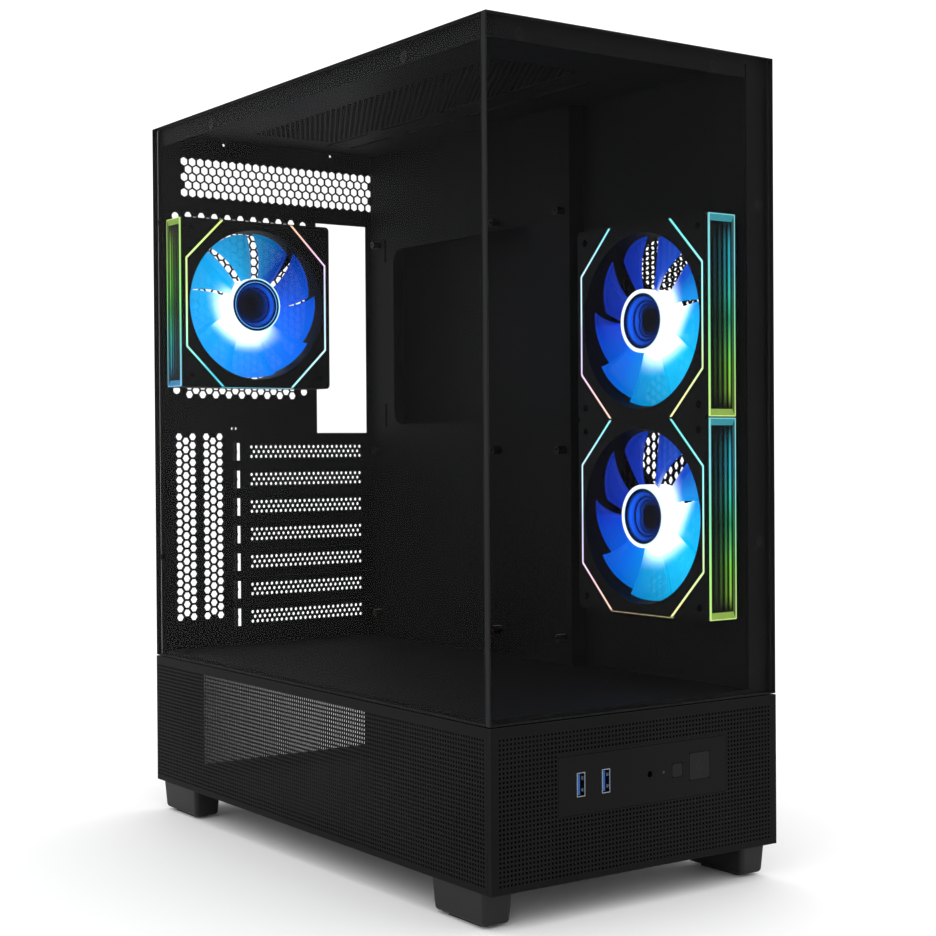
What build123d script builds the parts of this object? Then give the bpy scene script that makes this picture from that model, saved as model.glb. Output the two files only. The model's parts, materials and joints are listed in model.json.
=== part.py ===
"""Computer tower case: steel chassis, glass side and front, perforated lower band, three lit fans.

Frame: +Z up, origin on the floor under the middle of the case.
-Y is the front, +Y the rear, -X the glass side, +X the side behind the motherboard tray.
"""
from build123d import *
import os

os.makedirs("parts", exist_ok=True)

# ---------------------------------------------------------------- driving dimensions (mm)
WIDTH = 210.0
DEPTH = 410.0
HEIGHT = 487.0
FLOOR_Z = 20.0          # underside of the base pan, on top of the feet
SEAM_Z = 109.5          # joint between the lower band and the glass
SHROUD_Z = 112.0        # underside of the power supply shroud
ROOF_Z = 482.0          # underside of the top sheet
REAR_WALL = 197.0       # inner face of the rear wall, recessed from the case's rear edge
TRAY_X = 74.0           # glass-side face of the motherboard tray
FAN_WALL_X = 86.0       # glass-side face of the side fan wall, stepped back from the tray
FAN_WALL_REAR = -48.5   # where that step is
GLASS = 4.0
STEEL = 1.0
GAP = 0.3               # clearance round every panel that comes off
LIP = 8.0               # folded flanges

# ---------------------------------------------------------------- standard interfaces (mm)
FAN = 120.0
FAN_DEPTH = 25.0
FAN_HOLES = 105.0
SLOT_PITCH = 20.32
SLOT_COUNT = 7
FIRST_SLOT_Z = 255.2
IO_LOW, IO_HIGH = (25.05, 269.05), (69.5, 427.8)      # 44.45 x 158.75 aperture, (x, z) corners
PSU_LOW, PSU_HIGH = (-71.0, 28.0), (66.0, 106.0)
BOARD_Y = (184.8, 29.86, -42.53)                      # motherboard hole columns
BOARD_Z = (412.8, 255.32, 130.86)                      # motherboard hole rows
STANDOFF = 6.5

# ---------------------------------------------------------------- derived places
LEFT, RIGHT = -WIDTH / 2, WIDTH / 2
FRONT, REAR = -DEPTH / 2, DEPTH / 2
FRAME_LEFT = LEFT + GLASS + GAP
FRAME_RIGHT = RIGHT - STEEL - GAP
FRAME_FRONT = FRONT + GLASS + GAP
FRAME_REAR = REAR - GAP
PANEL_TOP = HEIGHT - GAP
BAND_LOW, BAND_HIGH = FLOOR_Z + GAP, SEAM_Z - GAP
GLASS_LOW = SEAM_Z + GAP
FLOOR_TOP = FLOOR_Z + STEEL
SHROUD_TOP = SHROUD_Z + STEEL
SLOT_Z = [FIRST_SLOT_Z - SLOT_PITCH * i for i in range(SLOT_COUNT)]


def window(low, high, mode=Mode.ADD):
    """A rectangle between two corners of the current sketch."""
    with Locations(((low[0] + high[0]) / 2, (low[1] + high[1]) / 2)):
        Rectangle(high[0] - low[0], high[1] - low[1], mode=mode)


def across(x):
    """A sketch plane facing +X at this x: its axes are Y and Z."""
    return Plane.YZ.offset(x)


def facing(y):
    """A sketch plane facing -Y at this y: its axes are X and Z, and a negative extrude goes rearwards."""
    return Plane.XZ.offset(-y)


def level(z):
    """A sketch plane facing up at this height."""
    return Plane.XY.offset(z)


# ================================================================ feet
FOOT_SIZE = (20.0, 51.0)
FOOT_AT = (94.0, 171.5)
FOOT_TAPER = 4.0        # degrees
FOOT_ROUND = 3.0
PAD = 1.5
PAD_SIZE = (10.0, 34.0)

for end, side_y in (("front", -1), ("rear", 1)):
    for side, side_x in (("left", -1), ("right", 1)):
        centre = (side_x * FOOT_AT[0], side_y * FOOT_AT[1])
        with BuildPart() as foot:
            with BuildSketch(level(FLOOR_Z)):
                with Locations(centre):
                    Rectangle(*FOOT_SIZE)
            extrude(amount=PAD - FLOOR_Z, taper=FOOT_TAPER)
            upright = [e for e in foot.edges() if abs(e.bounding_box().size.Z) > FLOOR_Z / 2]
            fillet(upright, FOOT_ROUND)
            fillet(foot.faces().sort_by(Axis.Z)[0].edges(), FOOT_ROUND)
        foot.part.label = f"foot_{end}_{side}"
        export_step(foot.part, f"parts/foot_{end}_{side}.step")

with BuildPart() as foot_pads:
    with BuildSketch(level(0)):
        with GridLocations(2 * FOOT_AT[0], 2 * FOOT_AT[1], 2, 2):
            RectangleRounded(*PAD_SIZE, FOOT_ROUND)
    extrude(amount=PAD)
foot_pads.part.label = "foot_pads"
export_step(foot_pads.part, "parts/foot_pads.step")

# ================================================================ base pan, with runners for the dust filter
FILTER_HALF = 69.0
FILTER_FRONT, FILTER_REAR = 40.0, 200.0
RUNNER = (16.0, 3.5)    # how low a runner hangs, and how far its lip reaches under the filter
FILTER_T = 2.4

with BuildPart() as base_pan:
    with BuildSketch(level(FLOOR_Z)):
        window((FRAME_LEFT, FRAME_FRONT), (FRAME_RIGHT, REAR_WALL))
    extrude(amount=STEEL)
    with BuildSketch(level(FLOOR_TOP)):
        window((FRAME_LEFT, FRAME_FRONT + STEEL), (FRAME_LEFT + STEEL, REAR_WALL))
        window((FRAME_RIGHT - STEEL, FRAME_FRONT + STEEL), (FRAME_RIGHT, REAR_WALL))
    extrude(amount=LIP)
    with BuildSketch(level(RUNNER[0])):
        window((-FILTER_HALF - GAP - STEEL, FILTER_FRONT), (-FILTER_HALF - GAP, REAR_WALL))
        window((FILTER_HALF + GAP, FILTER_FRONT), (FILTER_HALF + GAP + STEEL, REAR_WALL))
    extrude(amount=FLOOR_Z - RUNNER[0])
    with BuildSketch(level(RUNNER[0])):
        window((-FILTER_HALF - GAP, FILTER_FRONT), (-FILTER_HALF + RUNNER[1], REAR_WALL))
        window((FILTER_HALF - RUNNER[1], FILTER_FRONT), (FILTER_HALF + GAP, REAR_WALL))
    extrude(amount=STEEL)
base_pan.part.label = "base_pan"
export_step(base_pan.part, "parts/base_pan.step")

# slides out rearwards from under the power supply
with BuildPart() as psu_filter:
    with BuildSketch(level(RUNNER[0] + STEEL + GAP)):
        window((-FILTER_HALF, FILTER_FRONT), (FILTER_HALF, FILTER_REAR))
    extrude(amount=FILTER_T)
psu_filter.part.label = "psu_filter"
export_step(psu_filter.part, "parts/psu_filter.step")

# ================================================================ rear wall
SLOT_OPENING = (-46.5, 66.0, 7.0)       # x from, x to, half height
LEDGE_X = -44.0
LEDGE_OVERRUN = 10.0    # how far the screw ledge runs past the first and last slots
THUMB_AT = (97.0, (60.0, 440.0))
THUMB_TAP_R = 2.0
REAR_STUD_Z = (180.0, 420.0)
REAR_STUD_Y = 201.3
STUD_HOLE_R = 2.1
FAN_HOLE_R = 2.15
REAR_FAN = (-38.4, 361.5)               # x, z of its axis
SLOT_SCREW_Y = 201.3
SLOT_SCREW_TAP_R = 1.6

with BuildPart() as rear_panel:
    with BuildSketch(facing(REAR_WALL)):
        window((FRAME_LEFT, FLOOR_Z), (FRAME_RIGHT, ROOF_Z))
        window(IO_LOW, IO_HIGH, mode=Mode.SUBTRACT)
        window(PSU_LOW, PSU_HIGH, mode=Mode.SUBTRACT)
        for z in SLOT_Z:
            low, high = (SLOT_OPENING[0], z - SLOT_OPENING[2]), (SLOT_OPENING[1], z + SLOT_OPENING[2])
            window(low, high, Mode.SUBTRACT)
        with Locations(*[(THUMB_AT[0], z) for z in THUMB_AT[1]]):
            Circle(THUMB_TAP_R, mode=Mode.SUBTRACT)
        with Locations(REAR_FAN):
            with GridLocations(FAN_HOLES, FAN_HOLES, 2, 2):
                Circle(FAN_HOLE_R, mode=Mode.SUBTRACT)
    extrude(amount=-STEEL)
    # outward flange on the glass side, holed for the glass panel's studs
    with BuildSketch(across(FRAME_LEFT)):
        window((REAR_WALL + STEEL, FLOOR_Z), (FRAME_REAR, ROOF_Z))
        with Locations(*[(REAR_STUD_Y, z) for z in REAR_STUD_Z]):
            Circle(STUD_HOLE_R, mode=Mode.SUBTRACT)
    extrude(amount=STEEL)
    # ledge that the expansion slot covers are screwed to
    with BuildSketch(across(LEDGE_X)):
        window((REAR_WALL + STEEL, SLOT_Z[-1] - LEDGE_OVERRUN), (FRAME_REAR, SLOT_Z[0] + LEDGE_OVERRUN))
        with Locations(*[(SLOT_SCREW_Y, z) for z in SLOT_Z]):
            Circle(SLOT_SCREW_TAP_R, mode=Mode.SUBTRACT)
    extrude(amount=STEEL)
rear_panel.part.label = "rear_panel"
export_step(rear_panel.part, "parts/rear_panel.step")

# ================================================================ expansion slot covers and their screws
COVER_END = TRAY_X - GAP
COVER_HALF = 9.2
TAB_HALF = 5.5
VENT_SLIT = (-43.6, -40.8, 6.4)         # x from, x to, half height
COVER_HOLE_R = 1.7
SLOT_SCREW_R, SLOT_SCREW_LENGTH = 1.5, 4.0
SLOT_HEAD_R, SLOT_HEAD = 3.0, 2.2

for number, z in enumerate(SLOT_Z, start=1):
    with BuildPart() as cover:
        with BuildSketch(facing(REAR_WALL - STEEL)):
            window((LEDGE_X - STEEL, z - COVER_HALF), (COVER_END, z + COVER_HALF))
            low, high = (VENT_SLIT[0], z - VENT_SLIT[2]), (VENT_SLIT[1], z + VENT_SLIT[2])
            window(low, high, Mode.SUBTRACT)
        extrude(amount=-STEEL)
        with BuildSketch(across(LEDGE_X - STEEL)):
            window((REAR_WALL, z - TAB_HALF), (FRAME_REAR, z + TAB_HALF))
            with Locations((SLOT_SCREW_Y, z)):
                Circle(COVER_HOLE_R, mode=Mode.SUBTRACT)
        extrude(amount=STEEL)
    cover.part.label = f"slot_cover_{number}"
    export_step(cover.part, f"parts/slot_cover_{number}.step")

with BuildPart() as slot_screws:
    with BuildSketch(across(LEDGE_X - STEEL)):
        with Locations(*[(SLOT_SCREW_Y, z) for z in SLOT_Z]):
            Circle(SLOT_HEAD_R)
    extrude(amount=-SLOT_HEAD)
    with BuildSketch(across(LEDGE_X - STEEL)):
        with Locations(*[(SLOT_SCREW_Y, z) for z in SLOT_Z]):
            Circle(SLOT_SCREW_R)
    extrude(amount=SLOT_SCREW_LENGTH)
slot_screws.part.label = "slot_screws"
export_step(slot_screws.part, "parts/slot_screws.step")

# ================================================================ power supply shroud
with BuildPart() as psu_shroud:
    with BuildSketch(level(SHROUD_Z)):
        window((FRAME_LEFT, FRAME_FRONT + STEEL), (FAN_WALL_X + STEEL, REAR_WALL - STEEL))
    extrude(amount=STEEL)
    with BuildSketch(level(SHROUD_Z)):
        window((FRAME_LEFT, FRAME_FRONT + STEEL), (FRAME_LEFT + STEEL, REAR_WALL - STEEL))
    extrude(amount=-LIP)
psu_shroud.part.label = "psu_shroud"
export_step(psu_shroud.part, "parts/psu_shroud.step")

# ================================================================ motherboard tray and its standoffs
CPU_LOW, CPU_HIGH = (-9.0, 275.0), (165.0, 407.5)     # (y, z) corners
CPU_ROUND = 10.0
TIE_SLOTS = ((176.3, 407.9), (176.1, 282.2))
TIE_SLOT = (3.0, 17.5)
BOARD_HOLE_R = 1.8
BOARD_HOLES = [(y, z) for y in BOARD_Y for z in BOARD_Z]
STANDOFF_R = 2.9        # across the hexagon's corners, halved
STANDOFF_STUB = (1.7, 4.0)
STANDOFF_TAP_R = 1.25
STANDOFF_FLOOR = 1.0    # metal left under the tapped hole

with BuildPart() as motherboard_tray:
    with BuildSketch(across(TRAY_X)):
        window((FAN_WALL_REAR, SHROUD_TOP), (REAR_WALL, ROOF_Z))
        with Locations(((CPU_LOW[0] + CPU_HIGH[0]) / 2, (CPU_LOW[1] + CPU_HIGH[1]) / 2)):
            cutout = (CPU_HIGH[0] - CPU_LOW[0], CPU_HIGH[1] - CPU_LOW[1])
            RectangleRounded(*cutout, CPU_ROUND, mode=Mode.SUBTRACT)
        with Locations(*TIE_SLOTS):
            Rectangle(*TIE_SLOT, mode=Mode.SUBTRACT)
        with Locations(*BOARD_HOLES):
            Circle(BOARD_HOLE_R, mode=Mode.SUBTRACT)
    extrude(amount=STEEL)
motherboard_tray.part.label = "motherboard_tray"
export_step(motherboard_tray.part, "parts/motherboard_tray.step")

with BuildPart() as standoffs:
    with BuildSketch(across(TRAY_X)):
        with Locations(*BOARD_HOLES):
            RegularPolygon(STANDOFF_R, 6)
    extrude(amount=-STANDOFF)
    with BuildSketch(across(TRAY_X)):
        with Locations(*BOARD_HOLES):
            Circle(STANDOFF_STUB[0])
    extrude(amount=STANDOFF_STUB[1])
    with BuildSketch(across(TRAY_X - STANDOFF)):
        with Locations(*BOARD_HOLES):
            Circle(STANDOFF_TAP_R)
    extrude(amount=STANDOFF - STANDOFF_FLOOR, mode=Mode.SUBTRACT)
standoffs.part.label = "standoffs"
export_step(standoffs.part, "parts/standoffs.step")

# ================================================================ side fan wall and front pillar
SIDE_FAN_Y = -134.0
SIDE_FAN_Z = (334.3, 214.3)

with BuildPart() as side_fan_wall:
    with BuildSketch(across(FAN_WALL_X)):
        window((FRAME_FRONT + STEEL, SHROUD_TOP), (FAN_WALL_REAR, ROOF_Z))
        for z in SIDE_FAN_Z:
            with Locations((SIDE_FAN_Y, z)):
                with GridLocations(FAN_HOLES, FAN_HOLES, 2, 2):
                    Circle(FAN_HOLE_R, mode=Mode.SUBTRACT)
    extrude(amount=STEEL)
    with BuildSketch(facing(FAN_WALL_REAR - STEEL)):
        window((TRAY_X, SHROUD_TOP), (FAN_WALL_X, ROOF_Z))
    extrude(amount=-STEEL)
side_fan_wall.part.label = "side_fan_wall"
export_step(side_fan_wall.part, "parts/side_fan_wall.step")

PILLAR_STUD = (96.0, (200.0, 400.0))
with BuildPart() as front_pillar:
    with BuildSketch(facing(FRAME_FRONT)):
        window((FAN_WALL_X + STEEL, SHROUD_TOP), (FRAME_RIGHT, ROOF_Z))
        with Locations(*[(PILLAR_STUD[0], z) for z in PILLAR_STUD[1]]):
            Circle(STUD_HOLE_R, mode=Mode.SUBTRACT)
    extrude(amount=-STEEL)
    with BuildSketch(across(FRAME_RIGHT - STEEL)):
        window((FRAME_FRONT + STEEL, SHROUD_TOP), (FRAME_FRONT + 2 * LIP, ROOF_Z))
    extrude(amount=STEEL)
front_pillar.part.label = "front_pillar"
export_step(front_pillar.part, "parts/front_pillar.step")

# ================================================================ top sheet and the filter in its recess
TOP_SLOT_X = (20.0, 41.0)
TOP_SLOT_Y = [-84.0 + 75.0 * i for i in range(4)]
TOP_SLOT = (58.0, 3.8)
SIDE_STUD_Y = (-120.0, 120.0)
FRONT_STUD_X = (-80.0, 60.0)
STUD_Z = ROOF_Z - LIP / 2
RIM = HEIGHT - ROOF_Z
TOP_FILTER = (198.4, 396.0, 3.0)        # width, depth, corner radius
TOP_FILTER_AT = ((FRAME_LEFT + FRAME_RIGHT) / 2, (FRAME_FRONT + FRAME_REAR) / 2)

with BuildPart() as top_panel:
    with BuildSketch(level(ROOF_Z)):
        window((FRAME_LEFT, FRAME_FRONT), (FRAME_RIGHT, FRAME_REAR))
        with Locations(*[(x, y) for x in TOP_SLOT_X for y in TOP_SLOT_Y]):
            SlotOverall(*TOP_SLOT, rotation=90, mode=Mode.SUBTRACT)
    extrude(amount=STEEL)
    with BuildSketch(level(ROOF_Z)):
        window((FRAME_LEFT, FRAME_FRONT), (FRAME_RIGHT, FRAME_REAR))
        low, high = (FRAME_LEFT + STEEL, FRAME_FRONT + STEEL), (FRAME_RIGHT - STEEL, FRAME_REAR - STEEL)
        window(low, high, Mode.SUBTRACT)
    extrude(amount=RIM)
    # flanges folded down behind the glass, holed for the glass panels' studs
    with BuildSketch(across(FRAME_LEFT)):
        window((FRAME_FRONT + STEEL, ROOF_Z - LIP), (REAR_WALL, ROOF_Z))
        with Locations(*[(y, STUD_Z) for y in SIDE_STUD_Y]):
            Circle(STUD_HOLE_R, mode=Mode.SUBTRACT)
    extrude(amount=STEEL)
    with BuildSketch(facing(FRAME_FRONT)):
        window((FRAME_LEFT, ROOF_Z - LIP), (FAN_WALL_X, ROOF_Z))
        with Locations(*[(x, STUD_Z) for x in FRONT_STUD_X]):
            Circle(STUD_HOLE_R, mode=Mode.SUBTRACT)
    extrude(amount=-STEEL)
top_panel.part.label = "top_panel"
export_step(top_panel.part, "parts/top_panel.step")

with BuildPart() as top_filter:
    with BuildSketch(level(ROOF_Z + STEEL + GAP)):
        with Locations(TOP_FILTER_AT):
            RectangleRounded(*TOP_FILTER)
    extrude(amount=FILTER_T)
top_filter.part.label = "top_filter"
export_step(top_filter.part, "parts/top_filter.step")

# ================================================================ glass panels and the studs bonded to them
STUD_R = 1.8
STUD_FOOT_R = 3.4
STUD_FOOT = 0.25
STUD_REACH = 4.0
GLASS_EDGE = 0.4

with BuildPart() as glass_side_panel:
    with BuildSketch(across(LEFT)):
        window((FRAME_FRONT, GLASS_LOW), (FRAME_REAR, PANEL_TOP))
    extrude(amount=GLASS)
    chamfer(glass_side_panel.edges(), GLASS_EDGE)
glass_side_panel.part.label = "glass_side_panel"
export_step(glass_side_panel.part, "parts/glass_side_panel.step")

with BuildPart() as glass_front_panel:
    with BuildSketch(facing(FRONT)):
        window((LEFT, GLASS_LOW), (RIGHT, PANEL_TOP))
    extrude(amount=-GLASS)
    chamfer(glass_front_panel.edges(), GLASS_EDGE)
glass_front_panel.part.label = "glass_front_panel"
export_step(glass_front_panel.part, "parts/glass_front_panel.step")

side_stud_spots = [(REAR_STUD_Y, z) for z in REAR_STUD_Z] + [(y, STUD_Z) for y in SIDE_STUD_Y]
with BuildPart() as glass_side_studs:
    with BuildSketch(across(LEFT + GLASS)):
        with Locations(*side_stud_spots):
            Circle(STUD_R)
    extrude(amount=STUD_REACH)
    with BuildSketch(across(LEFT + GLASS)):
        with Locations(*side_stud_spots):
            Circle(STUD_FOOT_R)
    extrude(amount=STUD_FOOT)
glass_side_studs.part.label = "glass_side_studs"
export_step(glass_side_studs.part, "parts/glass_side_studs.step")

front_stud_spots = [(PILLAR_STUD[0], z) for z in PILLAR_STUD[1]] + [(x, STUD_Z) for x in FRONT_STUD_X]
with BuildPart() as glass_front_studs:
    with BuildSketch(facing(FRONT + GLASS)):
        with Locations(*front_stud_spots):
            Circle(STUD_R)
    extrude(amount=-STUD_REACH)
    with BuildSketch(facing(FRONT + GLASS)):
        with Locations(*front_stud_spots):
            Circle(STUD_FOOT_R)
    extrude(amount=-STUD_FOOT)
glass_front_studs.part.label = "glass_front_studs"
export_step(glass_front_studs.part, "parts/glass_front_studs.step")

# ================================================================ steel side panel and its thumbscrews
FLANGE_X = 92.0
FLANGE_Y = 199.0
THUMB_R = 5.0
THUMB_HEAD = 4.6
THUMB_SHANK = (1.7, 6.0)
THUMB_CLEAR_R = 1.8

with BuildPart() as right_side_panel:
    with BuildSketch(across(RIGHT - STEEL)):
        window((FRAME_FRONT, BAND_LOW), (FRAME_REAR, PANEL_TOP))
    extrude(amount=STEEL)
    with BuildSketch(facing(FLANGE_Y)):
        window((FLANGE_X, BAND_LOW + LIP), (RIGHT - STEEL, ROOF_Z - LIP))
        with Locations(*[(THUMB_AT[0], z) for z in THUMB_AT[1]]):
            Circle(THUMB_CLEAR_R, mode=Mode.SUBTRACT)
    extrude(amount=-STEEL)
right_side_panel.part.label = "right_side_panel"
export_step(right_side_panel.part, "parts/right_side_panel.step")

with BuildPart() as thumbscrews:
    with BuildSketch(facing(FLANGE_Y + STEEL)):
        with Locations(*[(THUMB_AT[0], z) for z in THUMB_AT[1]]):
            Circle(THUMB_R)
    extrude(amount=-THUMB_HEAD)
    with BuildSketch(facing(FLANGE_Y + STEEL)):
        with Locations(*[(THUMB_AT[0], z) for z in THUMB_AT[1]]):
            Circle(THUMB_SHANK[0])
    extrude(amount=THUMB_SHANK[1])
thumbscrews.part.label = "thumbscrews"
export_step(thumbscrews.part, "parts/thumbscrews.step")

# ================================================================ perforated lower band
IO_PLATE_LOW, IO_PLATE_HIGH = (-59.6, 56.5), (64.0, 89.0)
RETURN = 3.0            # folded edge of a band panel

with BuildPart() as lower_front_mesh:
    with BuildSketch(facing(FRONT)):
        window((LEFT, BAND_LOW), (RIGHT, BAND_HIGH))
        low = (IO_PLATE_LOW[0] - GAP, IO_PLATE_LOW[1] - GAP)
        high = (IO_PLATE_HIGH[0] + GAP, IO_PLATE_HIGH[1] + GAP)
        window(low, high, Mode.SUBTRACT)
    extrude(amount=-STEEL)
    with BuildSketch(facing(FRONT)):
        window((LEFT, BAND_LOW), (RIGHT, BAND_HIGH))
        window((LEFT + STEEL, BAND_LOW + STEEL), (RIGHT - STEEL, BAND_HIGH - STEEL), Mode.SUBTRACT)
    extrude(amount=-RETURN)
lower_front_mesh.part.label = "lower_front_mesh"
export_step(lower_front_mesh.part, "parts/lower_front_mesh.step")

with BuildPart() as lower_side_mesh:
    with BuildSketch(across(LEFT)):
        window((FRONT + RETURN + GAP, BAND_LOW), (FRAME_REAR, BAND_HIGH))
    extrude(amount=STEEL)
    with BuildSketch(across(LEFT)):
        window((FRONT + RETURN + GAP, BAND_LOW), (FRAME_REAR, BAND_HIGH))
        low, high = (FRONT + RETURN + GAP + STEEL, BAND_LOW + STEEL), (FRAME_REAR - STEEL, BAND_HIGH - STEEL)
        window(low, high, Mode.SUBTRACT)
    extrude(amount=RETURN)
lower_side_mesh.part.label = "lower_side_mesh"
export_step(lower_side_mesh.part, "parts/lower_side_mesh.step")

# ================================================================ lower front frame
FRAME_WINDOWS = (
    ((-96.0, 27.0), (-64.0, 106.0)),
    ((69.0, 27.0), (99.0, 106.0)),
    ((-58.0, 27.0), (63.0, 53.0)),
    ((-58.0, 92.0), (63.0, 106.0)),
    ((-54.0, 60.0), (58.5, 86.0)),
)

with BuildPart() as front_frame:
    with BuildSketch(facing(FRAME_FRONT)):
        window((FRAME_LEFT, FLOOR_TOP), (FRAME_RIGHT, SHROUD_TOP))
        for low, high in FRAME_WINDOWS:
            window(low, high, Mode.SUBTRACT)
    extrude(amount=-STEEL)
front_frame.part.label = "front_frame"
export_step(front_frame.part, "parts/front_frame.step")

# ================================================================ front connector plate, and what it carries
PLATE_T = 1.6
BOARD_FACE = -190.5
BOARD_T = 1.6
BOARD_LOW, BOARD_HIGH = (-54.0, 61.0), (58.0, 85.0)
PORT_Z = 72.8
USB_X = (-43.9, -26.2)
USB_OUT = (5.8, 13.3)
USB_IN = (4.9, 12.4)
USB_WALL_GAP = 0.15
TONGUE = (1.9, 11.4)
TONGUE_OFF = 1.1        # how far a tongue sits to the left of its port's middle
TONGUE_SHORT = 0.8
INSULATOR = 3.0
JACK_X, LED_X = 5.8, 16.0
JACK_R, JACK_BORE_R, LED_R = 2.9, 1.8, 0.9
JACK_BODY, JACK_DEPTH = 7.0, 13.0
ROUND_GAP = 0.1
BUTTONS = {"power": (43.5, 73.6, 15.4, 2.0), "reset": (26.4, 72.8, 7.6, 1.4)}     # x, z, size, stem radius
BUTTON_GAP = 0.25
BUTTON_TRAVEL = 1.2
BUTTON_ROUND = 1.0
COLLAR = (0.7, 0.8, 0.2)        # overlap each side, thickness, play behind the plate
PLATE_WALL = 1.5
BOSSES = ((-35.0, 2.5), (55.8, 2.0))

with BuildPart() as front_io_plate:
    with BuildSketch(facing(FRONT)):
        window(IO_PLATE_LOW, IO_PLATE_HIGH)
        with Locations(*[(x, PORT_Z) for x in USB_X]):
            Rectangle(USB_OUT[0] + 2 * USB_WALL_GAP, USB_OUT[1] + 2 * USB_WALL_GAP, mode=Mode.SUBTRACT)
        with Locations((JACK_X, PORT_Z)):
            Circle(JACK_R + ROUND_GAP, mode=Mode.SUBTRACT)
        with Locations((LED_X, PORT_Z)):
            Circle(LED_R + ROUND_GAP, mode=Mode.SUBTRACT)
        for x, z, size, _ in BUTTONS.values():
            with Locations((x, z)):
                Rectangle(size + 2 * BUTTON_GAP, size + 2 * BUTTON_GAP, mode=Mode.SUBTRACT)
    extrude(amount=-PLATE_T)
    with BuildSketch(facing(FRONT + PLATE_T)):
        window(IO_PLATE_LOW, IO_PLATE_HIGH)
        low = (IO_PLATE_LOW[0] + PLATE_WALL, IO_PLATE_LOW[1] + PLATE_WALL)
        high = (IO_PLATE_HIGH[0] - PLATE_WALL, IO_PLATE_HIGH[1] - PLATE_WALL)
        window(low, high, Mode.SUBTRACT)
    extrude(amount=FRONT + PLATE_T - FRAME_FRONT)
    with BuildSketch(facing(FRONT + PLATE_T)):
        for x, r in BOSSES:
            with Locations((x, PORT_Z)):
                Circle(r)
    extrude(amount=FRONT + PLATE_T - BOARD_FACE)
front_io_plate.part.label = "front_io_plate"
export_step(front_io_plate.part, "parts/front_io_plate.step")

with BuildPart() as front_io_board:
    with BuildSketch(facing(BOARD_FACE)):
        window(BOARD_LOW, BOARD_HIGH)
    extrude(amount=-BOARD_T)
front_io_board.part.label = "front_io_board"
export_step(front_io_board.part, "parts/front_io_board.step")

with BuildPart() as usb_shells:
    with BuildSketch(facing(FRONT)):
        with Locations(*[(x, PORT_Z) for x in USB_X]):
            Rectangle(*USB_OUT)
            Rectangle(*USB_IN, mode=Mode.SUBTRACT)
    extrude(amount=FRONT - BOARD_FACE)
usb_shells.part.label = "usb_shells"
export_step(usb_shells.part, "parts/usb_shells.step")

# each tongue stands out of the insulator that closes the back of its shell
with BuildPart() as usb_tongues:
    with BuildSketch(facing(BOARD_FACE)):
        with Locations(*[(x, PORT_Z) for x in USB_X]):
            Rectangle(*USB_IN)
    extrude(amount=INSULATOR)
    with BuildSketch(facing(BOARD_FACE)):
        with Locations(*[(x - TONGUE_OFF, PORT_Z) for x in USB_X]):
            Rectangle(*TONGUE)
    extrude(amount=BOARD_FACE - FRONT - TONGUE_SHORT)
usb_tongues.part.label = "usb_tongues"
export_step(usb_tongues.part, "parts/usb_tongues.step")

with BuildPart() as audio_jack:
    with BuildSketch(facing(FRONT)):
        with Locations((JACK_X, PORT_Z)):
            Circle(JACK_R)
    extrude(amount=FRONT - FRAME_FRONT)
    with BuildSketch(facing(FRAME_FRONT)):
        with Locations((JACK_X, PORT_Z)):
            Rectangle(JACK_BODY, JACK_BODY)
    extrude(amount=FRAME_FRONT - BOARD_FACE)
    with BuildSketch(facing(FRONT)):
        with Locations((JACK_X, PORT_Z)):
            Circle(JACK_BORE_R)
    extrude(amount=-JACK_DEPTH, mode=Mode.SUBTRACT)
audio_jack.part.label = "audio_jack"
export_step(audio_jack.part, "parts/audio_jack.step")

with BuildPart() as led_pipe:
    with BuildSketch(facing(FRONT)):
        with Locations((LED_X, PORT_Z)):
            Circle(LED_R)
    extrude(amount=FRONT - BOARD_FACE)
led_pipe.part.label = "led_pipe"
export_step(led_pipe.part, "parts/led_pipe.step")

SWITCH = (6.0, 2.6)     # square body of a push switch, and how far it stands off the board
with BuildPart() as push_switches:
    with BuildSketch(facing(BOARD_FACE)):
        for x, z, *_ in BUTTONS.values():
            with Locations((x, z)):
                Rectangle(SWITCH[0], SWITCH[0])
    extrude(amount=SWITCH[1])
push_switches.part.label = "push_switches"
export_step(push_switches.part, "parts/push_switches.step")

overlap, collar, play = COLLAR
for name, (x, z, size, stem) in BUTTONS.items():
    collar_front = FRONT + PLATE_T + play
    stem_end = BOARD_FACE - SWITCH[1] - BUTTON_TRAVEL - GAP
    with BuildPart() as button:
        with BuildSketch(facing(FRONT)):
            with Locations((x, z)):
                RectangleRounded(size, size, BUTTON_ROUND)
        extrude(amount=-PLATE_T - play)
        # collar behind the plate that keeps the button captive
        with BuildSketch(facing(collar_front)):
            with Locations((x, z)):
                Rectangle(size + 2 * overlap, size + 2 * overlap)
        extrude(amount=-collar)
        with BuildSketch(facing(collar_front + collar)):
            with Locations((x, z)):
                Circle(stem)
        extrude(amount=collar_front + collar - stem_end)
    button.part.label = f"{name}_button"
    export_step(button.part, f"parts/{name}_button.step")

# ================================================================ lit fans
# A fan's own frame: origin at the middle of its mounting face, Z towards its open front face,
# X towards the long side that carries its light bar.
FAN_CORNER = 3.0
DUCT_R = 53.8
HUB_R = 19.5
HUB_WALL = 1.6
HUB_LOW, HUB_HIGH = 4.4, 23.6
BLADES = 9
BLADE_TIP_R = 52.6
BLADE_T = 1.6
BLADE_CHORD = (17.0, 23.0)          # at the hub and at the tip
BLADE_ANGLE = (42.0, 28.0)          # from the plane of rotation, at the hub and at the tip
BLADE_Z = 13.0
BLADE_ROOT = 0.8                    # how far a blade starts inside the hub's wall
SEAT_R, SEAT_T = 18.5, 3.6
STRUT_W, STRUT_OVERLAP = 6.0, 4.0
TUBE_R, TUBE_BORE_R, TUBE_TOP = 4.6, 1.56, 17.0
TUBE_FLOOR = 1.0                    # plastic left under the bearing bore
SHAFT_R, SHAFT_LOW = 1.5, 1.6
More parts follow.
